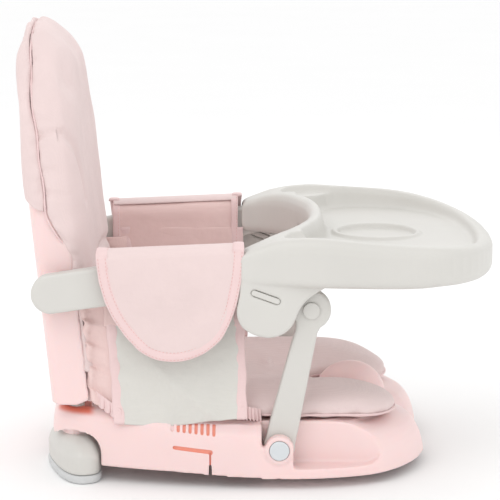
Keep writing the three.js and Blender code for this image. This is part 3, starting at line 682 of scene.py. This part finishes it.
def cut_slots(body):
    """Vents, strap slot and pin seat, cut after the edges are softened, so they stay crisp. The vents and
    strap slot stop 1.5 mm below the outer face, and their walls take the painted glow colour, painted light
    in place of light through the thin plastic.
    """

    def blind(x, z):
        """1.5 mm below the outer face of the right side."""
        hit, place, _, _ = body.ray_cast(Vector((x, -250, z)) * MM, Vector((0, 1, 0)))
        return (-place[1] / MM if hit else 160.0) - 1.5

    tools = []
    half = 1.5
    for i in range(8):
        x = -78 + 5.6 * i
        low, high = 54.4 - 0.5 * i, 59.6 - 0.15 * i
        middle = (low + high) / 2
        vent = arc(x, low, half, 180, 360, 8)
        vent += [(x + half, middle), (x + half, high), (x - half, high), (x - half, middle)]
        tools.append((vent, blind, CREVICE_PAINTED_GLOW))
    run = [(-64, 38.6), (-74, 39.6)] + arc(-76, 37.9, 1.7, 90, 270, 8)
    run += [(-66, 35.1), (-55, 34.1), (-44.5, 33.0)]
    run += arc(-42.3, 34.3, 2.5, -90, 90, 8) + [(-53, 37.6)]
    tools.append((run, blind, CREVICE_PAINTED_GLOW))
    tools.append(([(-43.2, 34), (-43.2, 18), (-41.4, 18), (-41.4, 34)], blind, CREVICE_PAINTED_GLOW))
    tools.append(([(-43.6, 22), (-44.3, -4), (-39.8, -4), (-41.0, 22)], 120, None))
    tools.append((arc(STRUT_PIN["x"], STRUT_PIN["z"], 9.8, 0, 352, 40), 163.8, None))
    for outline, depth, material in tools:
        combine(body, drawn(outline, depth, 190, material), "DIFFERENCE")


def base_look():
    """The moulded base: a shell with a pommel, foot arches, strut pockets and hinge lugs."""
    body = base_body(0, 4.0)
    combine(body, base_body(WALL, 5.0), "DIFFERENCE", sides=False)
    solid = base_body(0, 5.0)
    combine(body, pommel(), "UNION", sides=False)

    liner = drawn([(2, 12), (175, 12), (175, 80), (2, 80)], 134.2, 170)
    combine(body, kept_inside(liner, solid), "UNION")
    lug = [(-182, 62), (-156, 62), (-159, 94)] + arc(-168, 94, 9, 0, 180)
    combine(body, drawn(lug, 96, 106), "UNION")

    combine(body, foot_arch(), "DIFFERENCE")
    pocket = [(6, 90), (6, 19.5)] + arc(103, 38.5, 19, -90, 90, 24) + [(103, 90)]
    combine(body, drawn(pocket, 138.2, 220), "DIFFERENCE")
    add_sockets(body)

    x, z = STRUT_PIN["x"], STRUT_PIN["z"]
    cheek = drawn([(4, 13), (35.7, 13), (35.7, z), (x, z + 13), (4, z - 1)], 154, 170)
    combine(body, kept_inside(cheek, solid), "UNION")
    combine(body, drawn(arc(x, z, 13.5, 0, 350, 36), 154, 166.3), "UNION")
    bpy.data.objects.remove(solid)

    softened(body, 1.3, 6)
    one_material(body, PINK_PLASTIC)
    cut_slots(body)
    body.name = "base_moulding"
    smooth_shaded(body.data)
    body.data.set_sharp_from_angle(angle=math.radians(38))

    def painted_glow_under_backrest(p):
        """Painted glow: warm light painted into the base colour in the wedge below the backrest."""
        return 0.9 * step01(-abs(p[0] + 174), -24, -15) * step01(p[2], 61.5, 66) * step01(abs(p[1]), 100, 112)

    mark_painted_glow(body, painted_glow_under_backrest)
    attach(body, "base")
    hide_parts("base_shell")


base_look()

# ---- Moulded plastic --------------------------------------------------------------------------
LEAN = 0.105  # of the backrest, in mm backwards for each mm of height
BACK_FOOT = 78  # height that the lean starts from
PINCH_LINE = -175  # X that the backrest's end narrows to


def upright(p):
    """X and Z (mm) of a point in metres, with the backrest's lean taken out."""
    z = p[2] / MM
    return p[0] / MM + LEAN * (z - BACK_FOOT), z


def shell_look():
    """The backrest's shell; its hidden top stays inside the rounded end of the cover."""
    shell = moulded("back_shell", PINK_PLASTIC, "backrest", 1.7, 5)
    points = points_of(shell)
    for p in points:
        x, z = upright(p)
        squeeze = 0.22 * step01(z, 262, 335) * (x < PINCH_LINE) + 0.55 * step01(z, 375, 420)
        p[0] -= (x - PINCH_LINE) * min(0.7, squeeze) * MM
        p[2] -= 5 * MM * step01(z, 380, 424)
        p[1] *= 1 - 0.03 * step01(z, 262, 330)
    set_points(shell, points)


def rear_foot_look(s):
    """A rear foot with a full dome."""
    foot = moulded("rear_foot_" + s, GREY_PLASTIC, "rear_foot_" + s, 1.1, 6)
    points = points_of(foot)
    points[:, 2] += [9.5 * MM * step01(z / MM, 21, 33.5) for z in points[:, 2]]
    set_points(foot, points)


shell_look()
moulded("tray", GREY_PLASTIC, "tray", 1.4, 6)
for s in SIDES:
    moulded("arm_" + s, GREY_PLASTIC, "arm_" + s, 1.0, 4)
    moulded("strut_" + s, GREY_PLASTIC, "strut_" + s, 0.8, 4)
    rear_foot_look(s)
    moulded("rear_foot_sole_" + s, SOLE, "rear_foot_" + s, 1.1, 3)
    moulded("front_foot_" + s, GREY_PLASTIC, "front_foot_" + s, 1.1, 3)
    moulded("front_foot_sole_" + s, SOLE, "front_foot_" + s, 1.0, 2)
    moulded("tray_latch_" + s, GREY_PLASTIC, "latch_" + s, 0.5, 3)
    moulded("strut_pin_" + s, PIN, "base", 0.6, 3)
    moulded("strut_head_pin_" + s, GREY_PLASTIC, "strut_" + s, 0.6, 3)
    for pin_node in ("fold_pin_", "arm_pin_"):
        moulded(pin_node + s, PIN, "backrest", 0.7, 2)
    moulded("buckle_tongue_" + s, GREY_PLASTIC, "backrest", 0.7, 3)
moulded("buckle_body", GREY_PLASTIC, "base", 0.8, 4)
moulded("buckle_button", PINK_PLASTIC, "button", 0.6, 3)


# ---- Backrest cover ---------------------------------------------------------------------------
SHOULDER, TOP = 290.0, 424.0  # heights where the backrest's rounded end starts and closes
ROUNDNESS = 2.3  # of that end; 2 is an ellipse
POCKET_HEM = 262
REAR, FRONT = -196.0, -147.0  # X of the upright backrest's two faces
SEAM_X = -176.0


def back_outline(grow, foot, half=75):
    """Outline of the backrest in Y and Z, from the right foot over the top to the left foot."""
    width = lambda z: 137 - 0.044 * (z - 72) + grow
    pts = []
    for i in range(half + 1):
        share = i / half
        if share < 0.5:
            z = foot + (SHOULDER - foot) * share * 2
            y = width(z) - 6.5 * (1 - step01(z, 214, 240))
        else:
            a = (share - 0.5) * math.pi
            y = math.cos(a) ** (2 / ROUNDNESS) * width(SHOULDER) if a < math.pi / 2 else 0
            z = SHOULDER + math.sin(a) ** (2 / ROUNDNESS) * (TOP - SHOULDER + grow)
        pts.append((y, z))
    return [(-y, z) for y, z in pts] + [(y, z) for y, z in reversed(pts[:-1])]


def leaning(x, y, z):
    """From upright to leaning backwards; the top is thinner and rounds off towards its seam."""
    if x < PINCH_LINE:
        pinch = 0.5 * step01(z, 394, 429)
        pinch += 0.2 * step01(z, 262, 340) * (1 - pinch)
    else:
        pinch = 0.36 * step01(z, 406, 434)
    x = PINCH_LINE + (x - PINCH_LINE) * (1 - pinch)
    return (x - LEAN * (z - BACK_FOOT), y, z)


def to_middle(y, z, share, low=190, high=345):
    """A point of the outline moved a share of the way to the backrest's middle line."""
    return y * (1 - share), z + (min(max(z, low), high) - z) * share


def everywhere(p):
    return 0.0


def soft_gather(obj, line, reach, size, depth, seed, hold=0.0):
    """Small puckers next to a seam: line gives each point's distance (m) from it."""
    co, nor = points_of(obj), normals_of(obj)
    for i, p in enumerate(co):
        d = line(p)
        if d < reach * 3:
            fade = math.exp(-((d / reach) ** 2)) * (min(1, d / hold) if hold else 1)
            co[i] += nor[i] * depth * fade * ripple(p, size, seed)
    set_points(obj, co)


def seam_x(z):
    """The seam bends forward below the hem of the rear pocket."""
    wave = 0.8 * math.sin(z / 8.5) * step01(z, 190, 230)
    return SEAM_X - 2 * step01(z, 300, 362) + 17 * step01(-z, -262, -205) + wave


def from_seam(p):
    """Distance (m) of a point of the backrest from the seam between pad and pocket."""
    x, z = upright(p)
    return abs(x - seam_x(z)) * MM


def back_pad():
    """The padded front of the backrest, puffed between its seam and its quilted lines."""
    front, foot = FRONT, 104.0
    rings = []
    for share in (1.0, 0.6, 0.25, 0.0):
        outline = back_outline(-6, foot)
        rings.append([leaning(SEAM_X + 1, *to_middle(y, z, share)) for y, z in outline])
    sides = ((0.0, 1.2), (0.09, 4.6), (0.3, 6.6), (0.5, 6.9), (0.7, 5.8), (0.86, 2.9), (0.95, -2))
    for share, grow in sides:
        ring = []
        for y, z in back_outline(grow, foot):
            start = seam_x(z)
            ring.append(leaning(start + (front - start) * share, y, z))
        rings.append(ring)
    for share in (0.05, 0.1, 0.15, 0.2, 0.26, 0.32, 0.4, 0.48, 0.56, 0.65, 0.74, 0.83, 0.92, 1.0):
        rise = 2.6 * math.sin(min(1, share / 0.32) * math.pi / 2)
        outline = back_outline(-5, foot)
        rings.append([leaning(front + rise, *to_middle(y, z, share)) for y, z in outline])
    obj = lofted("back_pad_cloth", rings, PINK_FABRIC, None, caps=False)
    bm = bmesh.new()
    bm.from_mesh(obj.data)
    bmesh.ops.holes_fill(bm, edges=[e for e in bm.edges if e.is_boundary])
    bmesh.ops.recalc_face_normals(bm, faces=bm.faces)
    bm.to_mesh(obj.data)
    bm.free()
    behind_seam = 5 * len(rings[0])
    puffed(obj, 3.0, 4, np.where(np.arange(len(obj.data.vertices)) < behind_seam, 1.0, 0.0))
    modify(obj, "SUBSURF", levels=2, render_levels=2)
    baked(obj)
    soft_gather(obj, from_seam, 0.009, 0.010, 0.0026, 3.1, 0.004)
    soft_gather(obj, everywhere, 1.0, 0.055, 0.0020, 8.0)
    quilted(obj)
    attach(obj, "backrest")
    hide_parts("back_pad")


QUILT = [  # sewn lines on the front of the pad, in |Y| and Z
    smooth_path([(128, 330, 0), (120, 327, 0), (109, 316, 0), (98, 294, 0), (91, 264, 0)], 3),
    smooth_path([(122, 176, 0), (104, 190, 0), (66, 198, 0), (0, 201, 0)], 3),
]


def quilted(obj):
    """Sewn channels pressed into the front of the pad."""
    co, nor = points_of(obj), normals_of(obj)
    for i, p in enumerate(co):
        if abs(nor[i][1]) > 0.5:  # a crease that runs round the side from the seam
            x, z = upright(p)
            off = z - (327 + 6 * math.sin(math.pi * min(1, max(0, (x + 178) / 40))))
            fold = 0.0022 * math.exp(-((off / 3.2) ** 2))
            small = 0.0011 * max(0, math.sin(z / 3.6 + x / 30)) * math.exp(-(((x + 170) / 12) ** 2))
            co[i] -= nor[i] * (fold + small * step01(z, 256, 268) * step01(-z, -318, -304))
        if nor[i][0] < 0.35:
            continue
        spot = np.array([abs(p[1]), p[2]]) / MM
        near = min(np.min(np.hypot(line[:, 0] - spot[0], line[:, 1] - spot[1])) for line in QUILT)
        co[i, 0] -= 0.0032 * math.exp(-((near / 5.5) ** 2))
    set_points(obj, co)


back_pad()


def cover_edge(s):
    """The loose gathered edge of the cover beside the pad, down to the seat."""
    sign = SIDES[s]
    cols, rows = 90, 9
    high, low = 186, 76
    verts = []
    for i in range(cols):
        z = high - (high - low) * i / (cols - 1)
        for k in range(rows):
            v = k / (rows - 1)
            amount = 0.4 + 0.6 * v
            wave = (1.7 * math.sin(z / 4.6) + 1.2 * math.sin(z / 2.3 + 1.3)) * amount
            x = -166 + 17 * v + 0.9 * wave + 4.5 * step01(-z, -112, -80) * v
            y = 121.5 + 6.5 * math.sin(math.pi * min(1, v * 0.8)) + 1.4 * wave * v
            verts.append((x - LEAN * (z - BACK_FOOT), sign * y, z + 0.5 * wave))
    cloth_sheet(f"cover_edge_{s}", verts, cols, rows, PINK_FABRIC, "backrest", 0.0016)


for s in SIDES:
    cover_edge(s)


def back_cover():
    """The pocket that hangs over the upper rear of the backrest, with a loose wavy hem."""
    hem = lambda y: 2.6 * math.sin(y / 17.0) + 1.4 * math.sin(y / 7.3 + 1)
    rings = []
    for share in (0.93, 0.85, 0.7, 0.55, 0.4, 0.27, 0.16, 0.08, 0.03):
        x = REAR - 2.5 * (1 - (1 - share) ** 2)
        outline = back_outline(-1, POCKET_HEM)
        rings.append([leaning(x, *to_middle(y, z, share, POCKET_HEM)) for y, z in outline])
    for share, grow in ((0.05, 1.0), (0.18, 3.6), (0.38, 5.4), (0.6, 5.8), (0.82, 4.4), (1, 1.0)):
        outline = back_outline(grow, POCKET_HEM)
        rings.append([leaning(REAR + (seam_x(z) - REAR) * share, y, z) for y, z in outline])
    last = len(rings) - 1
    for k, ring in enumerate(rings):
        rise = 15 - 19 * max(0, k - last + 6) / 6
        loose = lambda z: 1 - step01(z, POCKET_HEM, POCKET_HEM + 28)
        rings[k] = [(x, y, z + (hem(y + x) + rise) * loose(z)) for x, y, z in ring]
    verts = [p for ring in rings for p in ring]
    faces = ring_faces(len(rings), len(rings[0]), closed_ring=False)
    cover = piece("back_cover_cloth", verts, faces, PINK_FABRIC, None)
    thickened(cover, 0.0026, offset=-1, levels=2)
    soft_gather(cover, from_seam, 0.011, 0.010, 0.0026, 12.4, 0.004)
    soft_gather(cover, lambda p: abs(p[2] - POCKET_HEM * MM), 0.02, 0.03, 0.0022, 6.6)
    soft_gather(cover, everywhere, 1.0, 0.06, 0.0018, 9.0)
    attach(cover, "backrest")
    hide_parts("back_cover")


back_cover()

# A thin puckered piping in the seam.
piping = smooth_path([leaning(seam_x(z), y, z) for y, z in back_outline(2.2, 200)], 2.5)
sweep("back_piping", piping, (1, 0, 0), 1.9, 1.9, BINDING, "backrest", wobble=0.35, seed=2.2, sides=8)

# ---- Seat cushion -----------------------------------------------------------------------------
CUSHION_HALF = [
    (-130, 0), (-130, 60), (-129, 90), (-121, 107), (-98, 117), (-62, 124), (-20, 132), (40, 135.5),
    (84, 132.5), (116, 114), (135, 76), (127, 43), (104, 29), (74, 25), (56, 13), (52, 0),
]


CUSHION_PROFILE = (  # share of the way to the middle, share of the thickness
    (0.95, 0), (0.6, 0), (0.3, 0), (0.06, 0), (0, 0.16), (-0.016, 0.4), (-0.008, 0.62),
    (0.016, 0.8), (0.05, 0.92), (0.1, 0.98), (0.16, 1), (0.24, 1), (0.34, 1), (0.46, 1),
    (0.6, 1), (0.74, 1), (0.86, 1), (0.96, 1),
)


def seat_cushion():
    """The seat pad, thicker under the legs than in the middle, cut out in front of the pommel."""
    edge = mirrored_outline(CUSHION_HALF, 5.0)

    def pulled(p, share):
        x, y = p
        cx = min(max(x, -90), 10)
        cy = math.copysign(min(abs(y), 62), y) * (0.9 if x > 10 else 0.35) if x > 30 else 0
        return cx + (x - cx) * (1 - share), cy + (y - cy) * (1 - share)

    rings = []
    for share, up in CUSHION_PROFILE:
        ring = []
        for p in edge:
            x, y = pulled(p, share)
            side = step01(abs(y), 22, 62) * (1 - 0.35 * step01(abs(y), 100, 140))
            thick = 12.4 + 10 * step01(x, -90, -20) * side - 5 * step01(x, 96, 140)
            ring.append((x, y, seat_height(x) + 1.2 + up * thick))
        rings.append(ring)
    cushion = lofted("seat_cushion_cloth", rings, PINK_FABRIC, None)
    softened(cushion, 4.2, 2)
    one_material(cushion, PINK_FABRIC)
    low = points_of(cushion)
    underside = np.array([(seat_height(x / MM) + 3.5) * MM for x in low[:, 0]])
    puffed(cushion, 2.0, 2.5, np.where(low[:, 2] < underside, 1.0, 0.0))
    modify(cushion, "SUBSURF", levels=1, render_levels=1)
    baked(cushion)
    smooth_shaded(cushion.data)
    seam = lambda p: abs(p[2] - (seat_height(p[0] / MM) + 7) * MM)
    soft_gather(cushion, seam, 0.007, 0.013, 0.0018, 4.4)
    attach(cushion, "base")
    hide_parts("seat_cushion")


def seat_piping():
    edge = [(1.007 * x, 1.007 * y, seat_height(x) + 5.6) for x, y in mirrored_outline(CUSHION_HALF, 3.0)]
    away = lambda p: (p[0] + 20, p[1], 0)
    sweep("seat_piping", edge, away, 2.4, 2.0, BINDING, "base", closed=True, wobble=0.25, seed=7.0, sides=8)


seat_cushion()
seat_piping()

# ---- Fabric over the armrests -----------------------------------------------------------------
SLEEVE_ENDS = {"right": (-142.0, -14.6), "left": (-151.0, -18.0)}
ARM_MIDDLE = 148  # |Y| of the armrest's middle line


def sleeve_top(x):
    return 228.5 + 0.0427 * (x - SLEEVE_ENDS["right"][1])


def sleeve_profile(x, swell):
    """Cross-section of the padded sleeve in |Y| and Z, from its inner foot over the top to its
    outer foot."""
    top = sleeve_top(x)
    pts = [
        (135.2, 150), (135.0, 180), (134.8, 200), (134.6 - swell, 213),
        (136.2 - swell * 0.6, top - 5.5), (140.5, top - 1.2), (147.5, top + 0.9 + swell * 0.5),
        (154.8, top - 1.0), (159.6 + swell * 0.4, top - 5.2), (161.2 + swell, 214),
        (161.4 + swell, 203), (161.6, 192),
    ]
    return smooth_path([(y, z, 0) for y, z in pts], 3.0)[:, :2]


def arm_fabric(s):
    sign, body = SIDES[s], "arm_" + s
    rear, front = SLEEVE_ENDS[s]
    # Sleeve: one sheet over the armrest, a little puffed between its bound ends.
    xs = np.linspace(rear, front, 44)
    verts, n = [], None
    for x in xs:
        share = (x - rear) / (front - rear)
        profile = sleeve_profile(x, 1.2 * math.sin(math.pi * share))
        n = len(profile) if n is None else n
        last = len(profile) - 1
        profile = np.array([profile[min(last, round(k * last / (n - 1)))] for k in range(n)])
        for y, z in profile:
            p = Vector((x, sign * y, z))
            wave = 0.8 * ripple(p * MM, 0.03, 1.3 * sign) + 0.35 * ripple(p * MM, 0.012, 4.0)
            y += wave * (1 if y > ARM_MIDDLE else -0.6)
            verts.append((x, sign * y, z + (wave * 0.5 if z > 215 else 0)))
    faces = ring_faces(len(xs), n, closed_ring=False)
    sleeve = piece(f"arm_sleeve_{s}", verts, faces, INNER_FABRIC, None)
    thickened(sleeve, 0.0022, offset=-1)
    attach(sleeve, body)
    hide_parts(f"arm_wrap_{s}")

    # Flap: runs over the sleeve and hangs down outside in a U.
    u_path = smooth_path([
        (rear + 0.5, 0, sleeve_top(rear) - 1), (rear + 2, 0, 206), (rear + 6, 0, 188),
        (rear + 15, 0, 166), (rear + 30, 0, 145), (-97, 0, 132), (-77, 0, 127.5), (-57, 0, 131.5),
        (-38, 0, 145), (-26, 0, 167), (-20, 0, 190), (front - 2.5, 0, 208),
        (front - 1, 0, sleeve_top(front) - 1),
    ], 2.5)
    n_u = len(u_path)
    top_edge = lambda x: sleeve_top(x) - 4

    def flap_y(x, z):
        drop = max(0.0, (200 - z) / 75)
        return 162.6 + 1.4 * math.sin(math.pi * min(1, (z - 128) / 95)) - 1.5 * drop

    rows = 26
    over_sleeve = ((161.6, -1.6), (158.2, 1.2), (153.0, 2.6), (147.0, 2.9), (141.0, 1.8), (137.0, -1.5))
    verts = []
    for i in range(n_u):
        x0, _, z0 = u_path[i]
        span = i / (n_u - 1)
        xt = u_path[0][0] + (u_path[-1][0] - u_path[0][0]) * span
        for k in range(rows):
            t = k / (rows - 1)
            x = x0 + (xt - x0) * t
            z = z0 + (top_edge(xt) - z0) * t
            fold = 0.9 * ripple((x * MM, 0.1 * sign, z * MM), 0.035, 9.1 * sign)
            fold += 0.3 * ripple((x * MM, 0, z * MM), 0.011, 5.0)
            verts.append((x, sign * (flap_y(x, z) + fold), z))
        for y, lift in over_sleeve:
            verts.append((xt, sign * y, sleeve_top(xt) + lift))
    rows += len(over_sleeve)
    flap = cloth_sheet(f"arm_flap_{s}_cloth", verts, n_u, rows, PINK_FABRIC, body, 0.0020)
    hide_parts(f"arm_flap_{s}")

    # A folded binding with two rows of stitches runs round the U; flat ones close the sleeve's ends. The
    # stitches' darker pink is painted shade in the stitch dimples.
    facing = (0, sign, 0)
    over = lambda p: (0, sign * max(0.05, abs(p[1]) - 154), max(0.0, 158.5 - abs(p[1])) * 1.2)
    crest = ((160.6, 0.2), (157.6, 2.2), (152.5, 3.4), (147.0, 3.6), (142.0, 2.6))
    bind = [(x, sign * (flap_y(x, z) + 0.3), z) for x, _, z in u_path]
    over_crest = lambda x: [(x, sign * y, sleeve_top(x) + lift) for y, lift in crest]
    bind = over_crest(u_path[0][0])[::-1] + bind + over_crest(u_path[-1][0])
    sweep(f"flap_binding_{s}", bind, over, 10.6, 2.4, BINDING, body, wobble=0.1, seed=3.3 * sign)
    for row, inside in (("outer", -3.4), ("inner", 3.4)):
        inner = []
        for i, (x, _, z) in enumerate(u_path):
            a, b = u_path[max(i - 1, 0)], u_path[min(i + 1, n_u - 1)]
            t = np.array([b[0] - a[0], b[2] - a[2]])
            t /= np.linalg.norm(t)
            inner.append((x - t[1] * inside, sign * (flap_y(x, z) + 1.45), z + t[0] * inside))
        stitches(f"flap_stitches_{row}_{s}", inner, facing, 3.4, 2.1, 0.6, THREAD_PAINTED_SHADE, body)
    for end, x in (("rear", rear + 3.6), ("front", front - 3.6)):
        hoop, outer = [], []
        for y, z in sleeve_profile(x, 0.2):
            y += 1.6 if y > ARM_MIDDLE else -0.4
            z += 2.0 if z > 222 else 0
            hoop.append((x, sign * y, z))
            y += 0.9 if y > ARM_MIDDLE else -0.9
            outer.append((x + 2.2, sign * y, z + (0.9 if z > 222 else 0)))
        out = lambda p: (0, p[1] - sign * ARM_MIDDLE, max(0, p[2] - 205) * 1.2 + 0.01)
        sweep(f"{end}_binding_{s}", hoop, out, 7.6, 1.7, BINDING, body, wobble=0.1, seed=6.1 * sign)
        stitches(f"{end}_stitches_{s}", outer, out, 3.4, 2.1, 0.55, THREAD_PAINTED_SHADE, body)


for s in SIDES:
    arm_fabric(s)


def folds_with_backrest(obj):
    """Gives the panel, or a piece sewn to it, a mesh of its own."""
    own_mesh(obj)


def elastic_frill(name, ends, sign, body):
    """A gathered elastic end of the panel, from its lower corner to where it is tucked in."""
    start, end = (np.array(e, float) for e in ends)
    cols, rows = 60, 8
    verts = []
    for i in range(cols):
        t = i / (cols - 1)
        centre = start + (end - start) * t
        for k in range(rows):
            v = k / (rows - 1)
            wave = math.sin(t * 34) * 1.6 + math.sin(t * 71 + 1) * 0.7
            loose = 1 - 0.75 * v
            z = centre[2] - 5.5 + 13 * v + math.cos(t * 34) * 1.1 * (1 - v)
            verts.append((centre[0] + wave * 0.5 * loose, sign * (centre[1] + wave * loose), z))
    folds_with_backrest(cloth_sheet(name, verts, cols, rows, BINDING, body, 0.0011))


def gusset(s, at):
    """The gathered inner fabric between the panel's rear edge and the backrest."""
    sign = SIDES[s]
    verts = []
    turns, across = 70, 14
    for i in range(turns):
        v = i / (turns - 1) * 0.93
        fx, fy, fz = at(0.03, v)
        wave = math.sin(v * 33) * 1.9 + math.sin(v * 71 + 1) * 0.9
        bx, by, bz = -157 - 0.07 * (fz - 60) + wave, 131 + wave, max(fz, 78 + 0.85 * (fz - 58))
        for k in range(across):
            u = k / (across - 1)
            loose = (1 - u) ** 2
            roll = 3.6 * math.exp(-(((u - 0.12) / 0.09) ** 2))
            y = by + (abs(fy) - by) * u - 3 * math.sin(math.pi * u) + roll
            verts.append((bx + (fx - bx) * u, sign * y, bz + (fz - bz) * u + wave * 0.4 * loose))
    name = f"side_gusset_{s}"
    folds_with_backrest(cloth_sheet(name, verts, turns, across, INNER_FABRIC, "arm_" + s, 0.0014))


def side_panel(s):
    """The cream panel below an armrest, with its bound edges, frills, gusset and two marks."""
    sign, body = SIDES[s], "arm_" + s
    cols, rows = 40, 44

    def at(u, v):
        """u runs from the rear edge to the front one, v from the bottom to the top."""
        x = (-129 + 118 * u) * (1 - v) + (-140 + 124.5 * u) * v
        hem = 58.5 - 2.0 * math.sin(math.pi * min(1, u * 1.4)) + 6.0 * step01(u, 0.35, 1)
        z = hem * (1 - v) + 198 * v
        sag = 2.0 * math.sin(math.pi * v) * math.sin(math.pi * u)
        y = 135.4 + (11.0 + 4.5 * u) * (1 - v) ** 2.4 + sag
        q = (x * MM, 0.05 * sign, z * MM)
        y += 1.4 * ripple(q, 0.05, 2.7 * sign) + 0.35 * ripple(q, 0.016, 7.7)
        crease = abs((u - 0.55) * 0.9 + (v - 0.22) * 1.1) + 0.04 * abs(ripple(q, 0.03, 4.0))
        y += 1.9 * math.exp(-((crease * 18) ** 2)) * step01(-abs(u - 0.6), -0.4, -0.2)
        edge = min(u, 1 - u)
        y += 1.6 * math.exp(-(edge * 14) ** 2) * ripple(q, 0.011, 1.9)
        return (x, sign * y, z)

    grid = [at(i / (cols - 1), k / (rows - 1)) for i in range(cols) for k in range(rows)]
    faces = ring_faces(cols, rows, closed_ring=False)
    panel = piece(f"side_cloth_{s}", grid, faces, CREAM_FABRIC, None)
    panel.data.materials.append(INNER_FABRIC)
    thickened(panel, 0.0016)
    for poly in panel.data.polygons:
        if poly.normal.y * sign < -0.2:
            poly.material_index = 1
    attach(panel, body)
    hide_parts(f"side_panel_{s}")
    folds_with_backrest(panel)

    outward = (0, sign, 0)
    for end, u in (("rear", 0.012), ("front", 0.988)):
        path = [at(u, v) for v in np.linspace(0, 1, 50)]
        name = f"side_binding_{end}_{s}"
        trim = sweep(name, path, outward, 10.2, 2.6, BINDING, body, wobble=0.3, seed=8.8 * sign)
        folds_with_backrest(trim)
    elastic_frill(f"side_frill_rear_{s}", ((-126, 145.5, 65), (-157, 130, 84)), sign, body)
    elastic_frill(f"side_frill_front_{s}", ((-13, 149.0, 70), (5, 137, 63.5)), sign, body)
    gusset(s, at)
    for tag, start, end in (("low", (0.82, 0.62), (0.94, 0.66)), ("high", (0.15, 0.585), (0.28, 0.585))):
        a, b = (np.array(at(*uv)) + [0, sign * 1.4, 0] for uv in (start, end))
        path = [a, (a + b) / 2, b]
        name = f"panel_mark_{tag}_{s}"
        folds_with_backrest(stitches(name, path, outward, 12, 7, 1.0, WHITE_THREAD, body))


for s in SIDES:
    side_panel(s)


# ---- Straps -----------------------------------------------------------------------------------
def strap(name, centre, width, thick, material, body, node, across):
    """A webbing strap along centre points (mm) with a raised selvedge."""
    path = smooth_path(centre, 3.0)
    rings = []
    for i, p in enumerate(path):
        a, b = path[max(i - 1, 0)], path[min(i + 1, len(path) - 1)]
        along = (b - a) / np.linalg.norm(b - a)
        side = np.array(across, float)
        side -= along * side.dot(along)
        side /= np.linalg.norm(side)
        up = np.cross(side, along)
        w, t = width / 2, thick / 2
        half = [(-w + 0.5, t), (-w + 2.2, t), (-w + 3, t * 0.6)]
        half += [(-c, d) for c, d in reversed(half)]
        section = [(-w, 0)] + half + [(w, 0)] + [(c, -d) for c, d in reversed(half)]
        rings.append([p + side * c + up * d for c, d in section])
    obj = lofted(name, rings, material, body)
    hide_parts(node)
    return obj


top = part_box("crotch_strap")[1][2] / MM
crotch = [(x, 0, top - drop) for x, drop in ((-52, 0.4), (-20, 0.6), (10, 0.4), (36, 0.9), (45, 4))]
strap("crotch_webbing", crotch, 25, 2.0, STRAP, "base", "crotch_strap", (0, 1, 0))
for s, sign in SIDES.items():
    rises = ((173, 0.2), (166, 1.4), (150, 1.6), (136, 1.4), (129, 0.6))
    waist = [leaning(FRONT + rise, sign * 117, z) for z, rise in rises]
    strap(f"waist_webbing_{s}", waist, 22, 1.8, STRAP, "backrest", f"waist_strap_{s}", (0, 1, 0))

# ---- Floor ------------------------------------------------------------------------------------
floor = bpy.data.objects.new("floor", bpy.data.meshes.new("floor"))
corners = [(x, y, -0.0002) for x, y in ((-6, -6), (6, -6), (6, 9), (-6, 9))]  # metres
floor.data.from_pydata(corners, [], [(0, 1, 2, 3)])
paper = Nodes("paper")
paper.link(paper.ramp(paper.noise(3), (0.93, 0.93, 0.93, 1), (0.95, 0.95, 0.95, 1)), "Base Color")
paper.set(Roughness=0.9, Specular_IOR_Level=0.1)
floor.data.materials.append(paper.material)
scene.collection.objects.link(floor)
